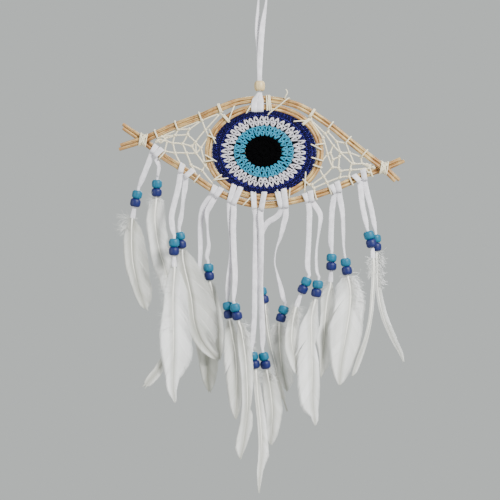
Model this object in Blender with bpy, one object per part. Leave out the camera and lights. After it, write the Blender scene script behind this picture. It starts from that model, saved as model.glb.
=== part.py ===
"""Evil eye ornament: two crossed cane bows around a crocheted eye, with nine beaded, feathered laces.

Metres, +Z up, +X to the viewer's right, -Y towards the viewer.  The origin is where the nail carries
the hanging loop.  Points in the tables below are in millimetres.
"""
import math

import bmesh
import bpy
from mathutils import Matrix, Vector

MM = 0.001

# Canes: every bow and the eye's hoop is two thin canes lying side by side.
CANE_RADIUS = 1.5
CANE_SPREAD = 1.47
CROSSING_OFFSET = 1.65
CROSSING_START, CROSSING_FULL = 70.0, 94.0
UPPER_BOW = [
    (-121, -143), (-100.5, -136.5), (-90.5, -132), (-75, -125), (-52, -116.5), (-37.5, -110.3),
    (-20.5, -104.3), (-0.5, -102.1), (19, -104.3), (36, -110.5), (57.5, -124.5), (71, -135.5),
    (86.5, -148), (102, -160), (114, -171.5)]
LOWER_BOW = [
    (-118.5, -124), (-100.5, -136.5), (-83, -150.5), (-72, -157.5), (-59.5, -166), (-46.5, -175),
    (-34, -182), (-16.5, -188.6), (-2, -190.9), (9.5, -190.6), (29, -186.8), (48.5, -181.5),
    (68, -174), (87, -165), (102, -160), (119, -152.5)]
BOW_STEP = 9.5
CROSSINGS = {"left": (-100.5, -136.5, 8.0), "right": (102.0, -160.0, 10.0)}

# The eye: one centre, and half width and half height of each edge, from the hoop inwards.
EYE_CENTRE = Vector((1.5, 0.0, -146.5))
HOOP_LINE = (47.1, 37.95)
NAVY_EDGE = (41.7, 32.55)
WHITE_EDGE = (35.2, 29.1)
TURQUOISE_EDGE = (24.6, 21.0)
PUPIL_EDGE = (14.7, 11.8)
EYE_SEGMENTS = 30
YARN_THICKNESS = 3.2
RING_GAP = 0.3

# Laces, beads and the loop they hang from.
LACE_WIDTH, LACE_THICKNESS = 4.8, 1.2
LACE_STEP = 7.5
BEAD_LACE = (2.3, 1.1)
BEAD_RADIUS, BEAD_HEIGHT, BEAD_BORE = 4.2, 6.9, 1.7
BEAD_SEGMENTS = 10
KNOT_WALL = 1.0
SMALL_KNOT = {"length": 6.0, "height": 7.5, "depth": 4.2}
WIDE_KNOT = {"length": 5.0, "height": 14.4, "depth": 3.9}
FEATHER_STEP = 13.0
QUILL_RADIUS = 0.8
QUILL_REACH = 2.2

LOOP_NAIL_RADIUS = 2.2
HANGER_X = -2.4
THROAT_Z = -96.4
WOOD_BEAD_Z, WOOD_BEAD_RADIUS, WOOD_BEAD_HALF, WOOD_BEAD_BORE = -91.0, 4.6, 4.1, 2.75

THREAD = 0.9
WEB_CLEARANCE = 2.6

# Each lace: x of its knot, which knot it has, the slant of the knot in degrees, and two tails.
# A tail: the route from the knot to the beads, the two bead centres, where the lace ends below
# the beads (None when it ends inside), the feather's shaft, its depth at the tip and its left
# and right half widths.
LACES = {
    1: {"x": -89.0, "knot": SMALL_KNOT, "slant": -38.0, "tails": {
        "a": {"route": [(-97.5, 2.8, -159), (-102.5, 4.6, -171)],
              "beads": [(-106, 6, -182), (-107.5, 6.4, -189)], "end": (-110, 7.2, -202),
              "feather": [(-111, -220.5), (-110, -239), (-105.5, -259.5), (-99.5, -278.5)],
              "tip_y": 10.0, "halves": (6.7, 15.5)},
        "b": {"route": [(-87.5, 3.0, -158), (-88.5, 5.2, -166)],
              "beads": [(-89.3, 7, -173.2), (-89.6, 7.6, -180)], "end": None,
              "feather": [(-91.3, -201), (-89.5, -219), (-86.5, -233), (-83, -244), (-78.5, -262.5),
                          (-77, -278)],
              "tip_y": 14.0, "halves": (8.5, 11.5)}}},
    2: {"x": -66.5, "knot": SMALL_KNOT, "slant": -34.0, "tails": {
        "a": {"route": [(-71, -0.8, -177), (-74.5, -1.6, -191), (-76.5, -2.4, -201.5),
                        (-75.4, -3, -212)],
              "beads": [(-74.2, -3.4, -223), (-74.3, -3.5, -230)], "end": (-74, -4, -243),
              "feather": [(-75.2, -271), (-74.5, -312.5), (-75, -342), (-73.5, -357)],
              "tip_y": -5.5, "halves": (10.5, 14.5)},
        "b": {"route": [(-65.6, 1.2, -178), (-67, 1.8, -187.5), (-68.2, 2.6, -198),
                        (-70, 3.2, -207)],
              "beads": [(-69.6, 3.6, -217.3), (-68.6, 3.6, -224.2)], "end": None,
              "feather": [(-67, -239), (-62.5, -258.5), (-60, -271), (-54.5, -292), (-47.5, -312.5)],
              "tip_y": 4.6, "halves": (9.0, 17.5)}}},
    3: {"x": -39.5, "knot": SMALL_KNOT, "slant": -29.0, "tails": {
        "a": {"route": [(-47.6, 1.8, -189), (-50.8, 3, -195.5), (-52.3, 4.6, -205.5),
                        (-52.6, 6, -217.2), (-52.6, 7.4, -230), (-53.3, 8.6, -243)],
              "beads": [(-52.2, 9.8, -259), (-51.6, 9.8, -265.9)], "end": None,
              "feather": [(-50, -288), (-47.5, -313), (-46.5, -334.5), (-45, -349.5)],
              "tip_y": 14.5, "halves": (9.0, 10.0)},
        "b": {"route": [(-43.6, -0.3, -191), (-46.8, 0.8, -198), (-46.6, 2.6, -208),
                        (-46, 4.6, -218), (-45.5, 6.2, -225.7), (-47.2, 8, -234.9)],
              "beads": [(-45.8, 9.4, -244.1), (-45.2, 9.4, -251)], "end": None,
              "feather": [(-42.5, -264.5), (-39.5, -284), (-37.5, -305), (-36.5, -321.5)],
              "tip_y": 9.4, "halves": (6.0, 5.5)}}},
    4: {"x": -23.5, "knot": WIDE_KNOT, "slant": -23.0, "tails": {
        "a": {"route": [(-27.6, -0.4, -196), (-27, -1.4, -206), (-26, -2.6, -221.4),
                        (-26.4, -3.6, -235), (-28.4, -4.6, -251.8), (-29.3, -5.4, -267)],
              "beads": [(-29, -5.8, -276), (-28.2, -5.8, -282.8)], "end": None,
              "feather": [(-26.5, -305), (-25.5, -326), (-25, -347), (-22.5, -370.5)],
              "tip_y": -7.4, "halves": (10.0, 7.0)},
        "b": {"route": [(-24.2, -2.7, -197), (-24.6, -4.8, -213), (-23.8, -7, -234.1),
                        (-23, -9.2, -251.8), (-24, -11.2, -267)],
              "beads": [(-22.9, -12.4, -277), (-21.3, -12.4, -283.7)], "end": None,
              "feather": [(-17.5, -297), (-14.5, -317.5), (-13, -338.5), (-12.5, -359.5),
                          (-14.5, -380.5), (-18.5, -403.5)],
              "tip_y": -12.8, "halves": (5.0, 7.5)}}},
    5: {"x": -4.5, "knot": WIDE_KNOT, "slant": -3.0, "tails": {
        "a": {"route": [(-5.4, 1.0, -201), (-5.6, 1, -212), (-5.7, 1, -226), (-6.1, 0.9, -241.7),
                        (-6.3, 0.8, -258.5), (-6.7, 0.5, -275.3), (-7.3, 0.2, -292.2),
                        (-8.6, 0, -308)],
              "beads": [(-8.1, -0.2, -318.5), (-6.7, -0.2, -325.2)], "end": None,
              "feather": [(-4, -351), (-1.5, -376.5), (-0.5, -397.5), (-2, -414.5), (-3, -433)],
              "tip_y": -3.0, "halves": (3.5, 6.0)},
        "b": {"route": [(-1.7, -1, -201), (-1, -1, -212.2), (-1.2, -1, -229), (-1.4, -0.9, -245.9),
                        (-1.6, -0.8, -262.7), (-0.8, -0.5, -279.5), (0.1, -0.1, -300.6)],
              "beads": [(1.1, 0.2, -318.7), (2.5, 0.2, -325.5)], "end": None,
              "feather": [(6.5, -347), (8.5, -368), (7, -393)],
              "tip_y": 3.0, "halves": (6.5, 8.0)}}},
    6: {"x": 16.5, "knot": WIDE_KNOT, "slant": 14.0, "tails": {
        "a": {"route": [(14.5, 1.5, -198), (10.5, 2.6, -202), (4.2, 3.4, -206), (-0.4, 4, -213.5),
                        (-2.7, 4.4, -224), (-3.6, 4.8, -237.4), (-3.2, 5.2, -250)],
              "beads": [(-0.5, 5.6, -264), (1.1, 5.6, -270.7)], "end": None,
              "feather": [(4, -294), (7, -310), (11, -326), (14.5, -343.5), (21, -365.5)],
              "tip_y": 6.0, "halves": (2.6, 3.0)},
        "b": {"route": [(19.6, 0.6, -200), (17.7, 1.6, -208), (15.2, 2.6, -218), (11.4, 3.6, -229),
                        (10.2, 4.4, -239.1), (12.6, 5.2, -250.1), (15.6, 6, -261),
                        (17.6, 6.6, -270)],
              "beads": [(17.9, 7, -279.8), (15.8, 7, -286.4)], "end": None,
              "feather": [(14.5, -309), (16.5, -328.5), (21, -348.5)],
              "tip_y": 10.5, "halves": (6.0, 6.0)}}},
    7: {"x": 38.5, "knot": SMALL_KNOT, "slant": 14.4, "tails": {
        "a": {"route": [(39.4, -0.8, -197), (39.2, -1.8, -208.8), (38.5, -3.2, -225.7),
                        (37.8, -4.6, -242.5)],
              "beads": [(36.6, -5.8, -255.6), (33.7, -5.8, -261.9)], "end": (28.3, -6.6, -276.5),
              "feather": [(25, -292), (24.5, -306.5), (27.5, -321.5), (30.5, -333.5)],
              "tip_y": -7.6, "halves": (5.0, 8.0)},
        "b": {"route": [(46.2, 0.0, -194.6), (48.8, -1, -201), (47.4, -3.2, -213),
                        (45.2, -5.6, -229.9), (45.3, -7.8, -246)],
              "beads": [(46.1, -9, -257.9), (45, -9, -264.7)], "end": None,
              "feather": [(41, -284), (41, -303), (41.5, -330), (42, -355.5), (44, -375.5)],
              "tip_y": -11.0, "halves": (13.0, 7.0)}}},
    8: {"x": 61.0, "knot": SMALL_KNOT, "slant": 21.0, "tails": {
        "a": {"route": [(59.8, 0.8, -187), (58.5, 1.2, -197), (57.9, 1.6, -212), (57.7, 1.8, -223)],
              "beads": [(58.3, 2, -235.7), (58.1, 2, -242.6)], "end": (57.3, 2.4, -256),
              "feather": [(54.5, -271), (52.5, -292), (51.5, -313), (49.5, -336)],
              "tip_y": 5.0, "halves": (8.0, 9.0)},
        "b": {"route": [(65.4, -0.2, -187), (67.2, -0.8, -197), (67.9, -1.6, -212),
                        (68.2, -2, -225)],
              "beads": [(69.9, -2.4, -239.4), (70.9, -2.4, -246.2)], "end": None,
              "feather": [(74, -264.5), (73.5, -276), (71.5, -291.5), (69, -306.5), (66, -326),
                          (64.5, -342.5)],
              "tip_y": -3.4, "halves": (17.5, 10.5)}}},
    9: {"x": 81.5, "knot": SMALL_KNOT, "slant": 25.0, "tails": {
        "a": {"route": [(82.8, -0.6, -180), (84, -2.2, -192), (86.7, -4.2, -205.4)],
              "beads": [(89.2, -6, -216.7), (91.1, -6.2, -223.4)], "end": (92.6, -6.6, -235.8),
              "feather": [(93, -254.5), (92, -267), (90.5, -284), (86.5, -302.5), (80.5, -319),
                          (75, -334.5)],
              "tip_y": -7.2, "halves": (2.6, 3.0)},
        "b": {"route": [(88.0, 0.9, -181), (91, 0.9, -192), (94, 0.8, -207)],
              "beads": [(95.5, 0.8, -219.5), (95.9, 0.8, -226.4)], "end": None,
              "feather": [(96.5, -250), (97.5, -265), (101.5, -284), (109, -302.5), (116, -316),
                          (119, -323.5)],
              "tip_y": 1.6, "halves": (3.2, 4.0)}}},
}


def clear_scene():
    for old in list(bpy.data.objects):
        bpy.data.objects.remove(old, do_unlink=True)


def make_material(name, colour, roughness):
    material = bpy.data.materials.new(name)
    material.use_nodes = True
    shader = material.node_tree.nodes["Principled BSDF"]
    shader.inputs["Base Color"].default_value = (*colour, 1.0)
    shader.inputs["Roughness"].default_value = roughness
    material.diffuse_color = (*colour, 1.0)
    return material


def make_pivot(name, place, parent=None):
    """An empty at a world place in millimetres; whatever it carries turns about it."""
    pivot = bpy.data.objects.new(name, None)
    bpy.context.collection.objects.link(pivot)
    offset = Vector((0, 0, 0)) if parent is None else Vector(parent["world_place"])
    pivot.location = (Vector(place) - offset) * MM
    pivot.parent = parent
    pivot["world_place"] = tuple(place)
    return pivot


def make_object(name, shape, material, pivot):
    """Turn a bmesh drawn in world millimetres into an object carried by its pivot."""
    bmesh.ops.translate(shape, verts=shape.verts, vec=-Vector(pivot["world_place"]))
    bmesh.ops.scale(shape, verts=shape.verts, vec=(MM, MM, MM))
    bmesh.ops.recalc_face_normals(shape, faces=shape.faces)
    mesh = bpy.data.meshes.new(name)
    shape.to_mesh(mesh)
    shape.free()
    mesh.materials.append(material)
    return place_mesh(name, mesh, pivot)


def place_mesh(name, mesh, pivot):
    made = bpy.data.objects.new(name, mesh)
    bpy.context.collection.objects.link(made)
    made.parent = pivot
    return made


def catmull_rom(before, start, end, after, t):
    return 0.5 * (2.0 * start + (end - before) * t
                  + (2.0 * before - 5.0 * start + 4.0 * end - after) * t * t
                  + (3.0 * start - before - 3.0 * end + after) * t ** 3)


def smooth_path(points, step):
    """Evenly spaced points along a smooth curve through the given ones."""
    knots = [Vector(point) for point in points]
    padded = [2 * knots[0] - knots[1], *knots, 2 * knots[-1] - knots[-2]]
    dense = []
    for index in range(len(knots) - 1):
        for part in range(16):
            dense.append(catmull_rom(*padded[index:index + 4], part / 16))
    dense.append(knots[-1])
    lengths = [0.0]
    for first, second in zip(dense, dense[1:]):
        lengths.append(lengths[-1] + (second - first).length)
    count = max(2, round(lengths[-1] / step))
    path = []
    for number in range(count + 1):
        wanted = lengths[-1] * number / count
        index = max(1, next((i for i, run in enumerate(lengths) if run >= wanted - 1e-6)))
        share = (wanted - lengths[index - 1]) / max(lengths[index] - lengths[index - 1], 1e-9)
        path.append(dense[index - 1].lerp(dense[index], share))
    return path


def path_frames(path, flat_normal=Vector((0, 1, 0))):
    """For each point: the point, a side direction in the X-Z plane and the direction out of it."""
    frames = []
    for index, point in enumerate(path):
        along = path[min(index + 1, len(path) - 1)] - path[max(index - 1, 0)]
        side = along.cross(flat_normal).normalized()
        out = side.cross(along).normalized()
        frames.append((point, side, out))
    return frames


def section_points(frame, outline):
    point, side, out = frame
    return [point + side * u + out * v for u, v in outline]


def extrude_region(shape, faces):
    """Extrude faces as one region and take out any that the extrusion leaves inside the solid."""
    result = bmesh.ops.extrude_face_region(shape, geom=faces)
    inner = [face for face in faces if any(len(edge.link_faces) > 2 for edge in face.edges)]
    bmesh.ops.delete(shape, geom=inner, context="FACES_ONLY")
    return [item for item in result["geom"] if isinstance(item, bmesh.types.BMFace)]


def extrude_to(shape, face, places):
    """Extrude a face and lay the corners of the new face at the given places, in its own order."""
    corners = [corner.co.copy() for corner in face.verts]
    new_face, = extrude_region(shape, [face])
    copies = [min(new_face.verts, key=lambda v, c=corner: (v.co - c).length) for corner in corners]
    for vert, place in zip(copies, places):
        vert.co = place
    return new_face, copies


def sweep(shape, frames, outlines):
    """A closed solid whose cross-section follows the frames."""
    start = [shape.verts.new(place) for place in section_points(frames[0], outlines[0])]
    face = shape.faces.new(start)
    order = start
    for frame, outline in zip(frames[1:], outlines[1:]):
        places = dict(zip(order, section_points(frame, outline)))
        face, copies = extrude_to(shape, face, [places[vert] for vert in face.verts])
        order = match_order(order, places, copies)


def match_order(order, places, copies):
    """The copied corners, in the same order as the outline they came from."""
    by_place = {tuple(vert.co): vert for vert in copies}
    return [by_place[tuple(Vector(places[vert]))] for vert in order]


def bow_depth(x):
    """How far a bow leans out of the flat at x, so that the two bows pass at the tips."""
    share = min(1.0, max(0.0, (abs(x) - CROSSING_START) / (CROSSING_FULL - CROSSING_START)))
    return CROSSING_OFFSET * share * share * (3.0 - 2.0 * share)


def double_cane():
    """The outline of two canes side by side, with the groove between them."""
    angles = [math.radians(angle) for angle in (-130, -75, -25, 25, 75, 130)]
    lobe = [(CANE_SPREAD + CANE_RADIUS * math.cos(a), CANE_RADIUS * math.sin(a)) for a in angles]
    return lobe + [(-u, -v) for u, v in lobe]


def bow_path(points, towards):
    return smooth_path([(x, towards * bow_depth(x), z) for x, z in points], BOW_STEP)


def make_bow(name, points, towards, material, pivot):
    frames = path_frames(bow_path(points, towards))
    shape = bmesh.new()
    sweep(shape, frames, [double_cane()] * len(frames))
    return make_object(name, shape, material, pivot)


def spin_outline(outline, segments, closed=True):
    """A solid turned about Z from an outline of radius and height pairs."""
    shape = bmesh.new()
    verts = [shape.verts.new((radius, 0, height)) for radius, height in outline]
    followers = verts[1:] + verts[:1] if closed else verts[1:]
    edges = [shape.edges.new(pair) for pair in zip(verts, followers)]
    bmesh.ops.spin(shape, geom=verts + edges, cent=(0, 0, 0), axis=(0, 0, 1), dvec=(0, 0, 0),
                   angle=2 * math.pi, steps=segments, use_merge=True, use_duplicate=False)
    bmesh.ops.remove_doubles(shape, verts=shape.verts, dist=0.001)
    return shape


def make_eye_piece(name, shape, hub, inner, outer, material, pivot):
    """Stretch a turned solid onto the eye: radius hub lands on the inner ellipse, hub + 1 on the outer."""
    for vert in shape.verts:
        radius = math.hypot(vert.co.x, vert.co.y)
        share = radius - hub
        across = vert.co.x / max(radius, 1e-9) * (inner[0] + share * (outer[0] - inner[0]))
        up = vert.co.y / max(radius, 1e-9) * (inner[1] + share * (outer[1] - inner[1]))
        vert.co = EYE_CENTRE + Vector((across, vert.co.z, up))
    return make_object(name, shape, material, pivot)


def make_hoop(material, pivot):
    hub = 10.0
    shape = spin_outline([(hub + u, v) for u, v in double_cane()], EYE_SEGMENTS)
    outside = tuple(size + 1.0 for size in HOOP_LINE)
    return make_eye_piece("eye_hoop", shape, hub, HOOP_LINE, outside, material, pivot)


def make_yarn_ring(name, outer, inner, material, pivot):
    """A flat crocheted ring with softly rounded rims."""
    hub, half = 10.0, YARN_THICKNESS / 2
    inner = tuple(size + RING_GAP for size in inner)
    soft = 1.0 / (outer[0] - inner[0])
    outline = [(0, -half * 0.55), (soft, -half), (1 - soft, -half), (1, -half * 0.55),
               (1, half * 0.55), (1 - soft, half), (soft, half), (0, half * 0.55)]
    shape = spin_outline([(hub + u, v) for u, v in outline], EYE_SEGMENTS)
    return make_eye_piece(name, shape, hub, inner, outer, material, pivot)


def make_pupil(material, pivot):
    half = YARN_THICKNESS / 2
    outline = [(0, -half), (0.9, -half), (1, -half * 0.5), (1, half * 0.5), (0.9, half), (0, half)]
    shape = spin_outline(outline, EYE_SEGMENTS, closed=False)
    return make_eye_piece("pupil", shape, 0.0, (0, 0), PUPIL_EDGE, material, pivot)


def band_shape(size, wall, segments):
    """A flat strap around a cane along X, centred on the origin, cut into segments along X."""
    shape = bmesh.new()
    high, deep = size["height"] / 2, size["depth"] / 2
    outer = [(-deep - wall, -high - wall), (deep + wall, -high - wall), (deep + wall, high + wall),
             (-deep - wall, high + wall)]
    inner = [(-deep, -high), (deep, -high), (deep, high), (-deep, high)]
    start = -size["length"] / 2
    outer_verts = [shape.verts.new((start, y, z)) for y, z in outer]
    inner_verts = [shape.verts.new((start, y, z)) for y, z in inner]
    faces = []
    for index in range(4):
        follow = (index + 1) % 4
        faces.append(shape.faces.new((outer_verts[index], outer_verts[follow],
                                      inner_verts[follow], inner_verts[index])))
    for share in segments:
        faces = extrude_region(shape, faces)
        verts = list({vert for face in faces for vert in face.verts})
        bmesh.ops.translate(shape, verts=verts, vec=(share * size["length"], 0, 0))
    bmesh.ops.recalc_face_normals(shape, faces=shape.faces)
    return shape


def bow_height(x):
    """Height of the lower bow's middle line at x."""
    path = bow_path(LOWER_BOW, 1)
    for first, second in zip(path, path[1:]):
        if first.x <= x <= second.x:
            return first.lerp(second, (x - first.x) / (second.x - first.x)).z
    raise ValueError("no bow at this place")


def knot_centre(lace):
    """Middle of a knot: on the lower bow, or midway over bow and hoop for the wide ones."""
    x, slant = lace["x"], math.radians(lace["slant"])
    bow_z = bow_height(x)
    if lace["knot"] is SMALL_KNOT:
        return Vector((x, bow_depth(x), bow_z))
    cane_half = CANE_RADIUS + CANE_SPREAD
    across = (x - EYE_CENTRE.x) / (HOOP_LINE[0] - cane_half)
    hoop_inside = EYE_CENTRE.z - (HOOP_LINE[1] - cane_half) * math.sqrt(1 - across * across)
    return Vector((x, 0, (bow_z - cane_half / math.cos(slant) + hoop_inside) / 2))


def bead_axis(tail):
    upper, lower = (Vector(bead) for bead in tail["beads"])
    return (upper + lower) / 2, (lower - upper).normalized()


def tail_path(tail, start):
    """Middle line of a tail from the knot through both beads to the end of the lace."""
    centre, axis = bead_axis(tail)
    top = centre - axis * BEAD_HEIGHT
    bottom = centre + axis * BEAD_HEIGHT
    hanging = smooth_path([start, *tail["route"], top - axis * 3.0], LACE_STEP)
    if tail["end"] is None:
        return hanging + [top - axis * 0.6, bottom - axis * (QUILL_REACH + RING_GAP)], top
    end = Vector(tail["end"])
    return hanging + [top - axis * 0.6, bottom + axis * 0.6, bottom + axis * 3.5, end], top


def lace_outline(width, thickness):
    return [(-width / 2, -thickness / 2), (width / 2, -thickness / 2),
            (width / 2, thickness / 2), (-width / 2, thickness / 2)]


def tail_outlines(path, inside_beads):
    """Full width where the lace hangs free, folded narrow where it runs through the beads."""
    outlines = []
    for index in range(len(path)):
        narrow = index in inside_beads
        width, thickness = BEAD_LACE if narrow else (LACE_WIDTH, LACE_THICKNESS)
        outlines.append((width, thickness))
    return outlines


def grow_tail(shape, face, tail):
    """Extrude one of the knot's lower faces into a tail that runs through its beads."""
    start = face.calc_center_median()
    path, _ = tail_path(tail, start)
    count = len(path)
    last_free = count - 3 if tail["end"] is None else count - 5
    inside = range(last_free + 1, last_free + 3)
    sizes = tail_outlines(path, inside)
    throat = max((vert.co - start).length for vert in face.verts)
    order = None
    for index, (frame, size) in enumerate(zip(path_frames(path), sizes)):
        if index == 0:
            _, side, out = frame
            signs = {vert: (math.copysign(1, (vert.co - start).dot(side)),
                            math.copysign(1, vert.co.y - start.y) * math.copysign(1, out.y))
                     for vert in face.verts}
            continue
        width = min(size[0], throat * 1.1) if index == 1 else size[0]
        point, side, out = frame
        places = [point + side * signs[vert][0] * width / 2 + out * signs[vert][1] * size[1] / 2
                  for vert in face.verts]
        old = list(face.verts)
        face, copies = extrude_to(shape, face, places)
        signs = {copy: signs[vert] for vert, copy in zip(old, copies)}
    return order


def make_lace(number, lace, material, pivot):
    """One lace: a knot around the bow and its two tails, in one piece."""
    gap_share = 0.1
    shares = ((1 - gap_share) / 2, gap_share, (1 - gap_share) / 2)
    shape = band_shape(lace["knot"], KNOT_WALL, shares)
    high = lace["knot"]["height"] / 2 + KNOT_WALL
    lower = [face for face in shape.faces
             if face.normal.z < -0.9 and abs(face.calc_center_median().z + high) < 0.01]
    lower.sort(key=lambda face: face.calc_center_median().x)
    turn = Matrix.Rotation(-math.radians(lace["slant"]), 4, "Y")
    bmesh.ops.transform(shape, matrix=Matrix.Translation(knot_centre(lace)) @ turn, verts=shape.verts)
    grow_tail(shape, lower[0], lace["tails"]["a"])
    grow_tail(shape, lower[-1], lace["tails"]["b"])
    return make_object(f"lace_{number}", shape, material, pivot)


def turned_mesh(name, outline, segments, material):
    """The mesh of a bead, in metres, centred on its own bore."""
    shape = spin_outline(outline, segments)
    bmesh.ops.scale(shape, verts=shape.verts, vec=(MM, MM, MM))
    bmesh.ops.recalc_face_normals(shape, faces=shape.faces)
    mesh = bpy.data.meshes.new(name)
    shape.to_mesh(mesh)
    shape.free()
    mesh.materials.append(material)
    return mesh


def bead_pair_mesh(material):
    """A turquoise and a blue barrel bead, end to end, with one bore."""
    full, rim = BEAD_RADIUS, BEAD_RADIUS * 0.6
    half = BEAD_HEIGHT / 2
    upper = [(BEAD_BORE, BEAD_HEIGHT), (rim, BEAD_HEIGHT), (full, half + 1.5), (full, half - 1.5)]
    lower = [(radius, -height) for radius, height in reversed(upper)]
    return turned_mesh("bead_pair", upper + [(rim, 0)] + lower, BEAD_SEGMENTS, material)


def make_beads(name, tail, mesh, pivot):
    centre, axis = bead_axis(tail)
    beads = place_mesh(name, mesh, pivot)
    beads.location = (centre - Vector(pivot["world_place"])) * MM
    beads.rotation_mode = "QUATERNION"
    beads.rotation_quaternion = (-axis).to_track_quat("Z", "Y")
    return beads


def feather_outline(share, left, right):
    """Cross-section of a feather at a share of its length: a thin vane each side of the shaft."""
    if share < 0.08:
        return [(-QUILL_RADIUS, -0.5), (0, -QUILL_RADIUS), (QUILL_RADIUS, -0.5),
                (QUILL_RADIUS, 0.5), (0, QUILL_RADIUS), (-QUILL_RADIUS, 0.5)]
    swell = math.sin(math.pi * min(1.0, 0.12 + 0.88 * share)) ** 0.45
    width_share = max(0.12, swell)
    wide_left, wide_right = left * width_share, right * width_share
    return [(-wide_left, -0.2), (0, -0.6), (wide_right, -0.2), (wide_right, 0.2), (0, 0.6),
            (-wide_left, 0.2)]


def make_feather(name, tail, material, pivot):
    """A feather whose quill starts in the lower bead, or at the end of the lace below it."""
    centre, axis = bead_axis(tail)
    if tail["end"] is None:
        start = centre + axis * (BEAD_HEIGHT - QUILL_REACH)
        second = centre + axis * (BEAD_HEIGHT + 1.5)
    else:
        start = Vector(tail["end"]) + (Vector(tail["end"]) - centre).normalized() * RING_GAP
        second = start + (start - centre).normalized() * 3.0
    shaft = tail["feather"]
    fall = second.z - shaft[-1][1]
    depths = [second.y + (tail["tip_y"] - second.y) * (second.z - z) / fall for _, z in shaft]
    points = [second, *((x, y, z) for (x, z), y in zip(shaft, depths))]
    path = [start] + smooth_path(points, FEATHER_STEP)
    last = len(path) - 1
    left, right = tail["halves"]
    outlines = [feather_outline(index / last if index > 1 else 0.0, left, right)
                for index in range(last + 1)]
    shape = bmesh.new()
    sweep(shape, path_frames(path), outlines)
    return make_object(name, shape, material, pivot)


def make_binding(name, place, slant, size, material, pivot):
    shape = band_shape(size, 1.2, (1.0,))
    turn = Matrix.Rotation(math.radians(slant), 4, "Y")
    bmesh.ops.transform(shape, matrix=Matrix.Translation(place) @ turn, verts=shape.verts)
    return make_object(name, shape, material, pivot)


def make_hanger_wrap(material, pivot):
    """The lace wrapped over bow and hoop, rising to a narrow throat under the wooden bead."""
    size = {"length": 9.0, "height": 13.8, "depth": 3.9}
    shape = band_shape(size, KNOT_WALL, (1.0,))
    place = Vector((-4.0, 0, -105.6))
    bmesh.ops.translate(shape, verts=shape.verts, vec=place)
    top = max(shape.faces, key=lambda face: face.calc_center_median().z)
    neck = {"shoulder": (-3.6, 8.0, 2.9, -97.2), "throat": (HANGER_X, 5.0, 2.9, THROAT_Z)}
    for middle, width, depth, height in neck.values():
        places = [Vector((middle + math.copysign(width / 2, vert.co.x - top.calc_center_median().x),
                          math.copysign(depth / 2, vert.co.y), height)) for vert in top.verts]
        top, _ = extrude_to(shape, top, places)
    return make_object("hanger_wrap", shape, material, pivot)


def loop_route():
    """The hanging lace: up through the bead, over the nail and down again, with its half turn."""
    bottom = THROAT_Z + 1.1
    left = [(HANGER_X, 0.75, bottom), (HANGER_X, 0.75, -75), (-2.6, 0.9, -62), (-4.2, 1.2, -42),
            (-3.4, 1.0, -18), (-LOOP_NAIL_RADIUS, 0.3, -2.2)]
    right = [(LOOP_NAIL_RADIUS, -0.3, -2.2), (3.2, -1.0, -18), (-0.2, -1.2, -42),
             (-1.8, -0.9, -62), (HANGER_X, -0.75, -75), (HANGER_X, -0.75, bottom)]
    return left + [(0, 0, 0.6)] + right


def make_hanging_loop(material, pivot):
    path = smooth_path(loop_route(), 7.0)
    frames, outlines = [], []
    for index, point in enumerate(path):
        along = path[min(index + 1, len(path) - 1)] - path[max(index - 1, 0)]
        rise = min(1.0, max(0.0, (point.z + 60.0) / 50.0))
        across = Vector((1, 0, 0)).lerp(Vector((0, 1, 0)), rise)
        out = along.cross(across).normalized()
        frames.append((point, out.cross(along).normalized(), out))
        width = 4.0 if point.z < -72.0 else LACE_WIDTH
        outlines.append(lace_outline(width, 1.1))
    shape = bmesh.new()
    sweep(shape, frames, outlines)
    return make_object("hanging_loop", shape, material, pivot)


def make_wooden_bead(material, pivot):
    rim, shoulder = 3.5, 4.3
    outline = [(WOOD_BEAD_BORE, WOOD_BEAD_HALF), (rim, WOOD_BEAD_HALF), (shoulder, 2.4),
               (WOOD_BEAD_RADIUS, 0), (shoulder, -2.4), (rim, -WOOD_BEAD_HALF),
               (WOOD_BEAD_BORE, -WOOD_BEAD_HALF)]
    mesh = turned_mesh("wooden_bead", outline, 16, material)
    return place_mesh("wooden_bead", mesh, pivot)


def make_web(name, corners, arc, material, pivot):
    """The knotted thread net between the bows, from the frame's tip to the hoop.

    corners are the net's lower and upper point at the tip; arc is the hoop's angles that it meets.
    """
    columns, rows = 5, 3
    shape = bmesh.new()
    bmesh.ops.create_grid(shape, x_segments=columns, y_segments=rows, size=1.0)
    for vert in shape.verts:
        along, up = (vert.co.x + 1) / 2, (vert.co.y + 1) / 2
        tip = Vector(corners[0]).lerp(Vector(corners[1]), up)
        angle = math.radians(arc[0] + (arc[1] - arc[0]) * up)
        reach = CANE_RADIUS + CANE_SPREAD + WEB_CLEARANCE
        rim = Vector(((HOOP_LINE[0] + reach) * math.cos(angle), 0,
                      (HOOP_LINE[1] + reach) * math.sin(angle))) + EYE_CENTRE
        vert.co = tip.lerp(rim, along)
    web = make_object(name, shape, material, pivot)
    threads = web.modifiers.new("threads", "WIREFRAME")
    threads.thickness = THREAD * MM
    threads.use_boundary = True
    threads.use_even_offset = False
    return web


def make_materials():
    return {
        "cane": make_material("cane", (0.62, 0.42, 0.22), 0.55),
        "lace": make_material("white_suede_lace", (0.78, 0.76, 0.78), 0.9),
        "thread": make_material("waxed_thread", (0.75, 0.68, 0.5), 0.6),
        "navy": make_material("navy_wool", (0.012, 0.014, 0.16), 0.9),
        "white": make_material("white_wool", (0.72, 0.68, 0.75), 0.9),
        "turquoise": make_material("turquoise_wool", (0.05, 0.42, 0.6), 0.9),
        "black": make_material("black_wool", (0.004, 0.004, 0.005), 0.9),
        "beads": make_material("painted_beads", (0.03, 0.3, 0.45), 0.6),
        "wood": make_material("natural_bead", (0.66, 0.52, 0.3), 0.5),
        "feather": make_material("feather", (0.75, 0.75, 0.72), 0.8),
    }


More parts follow.
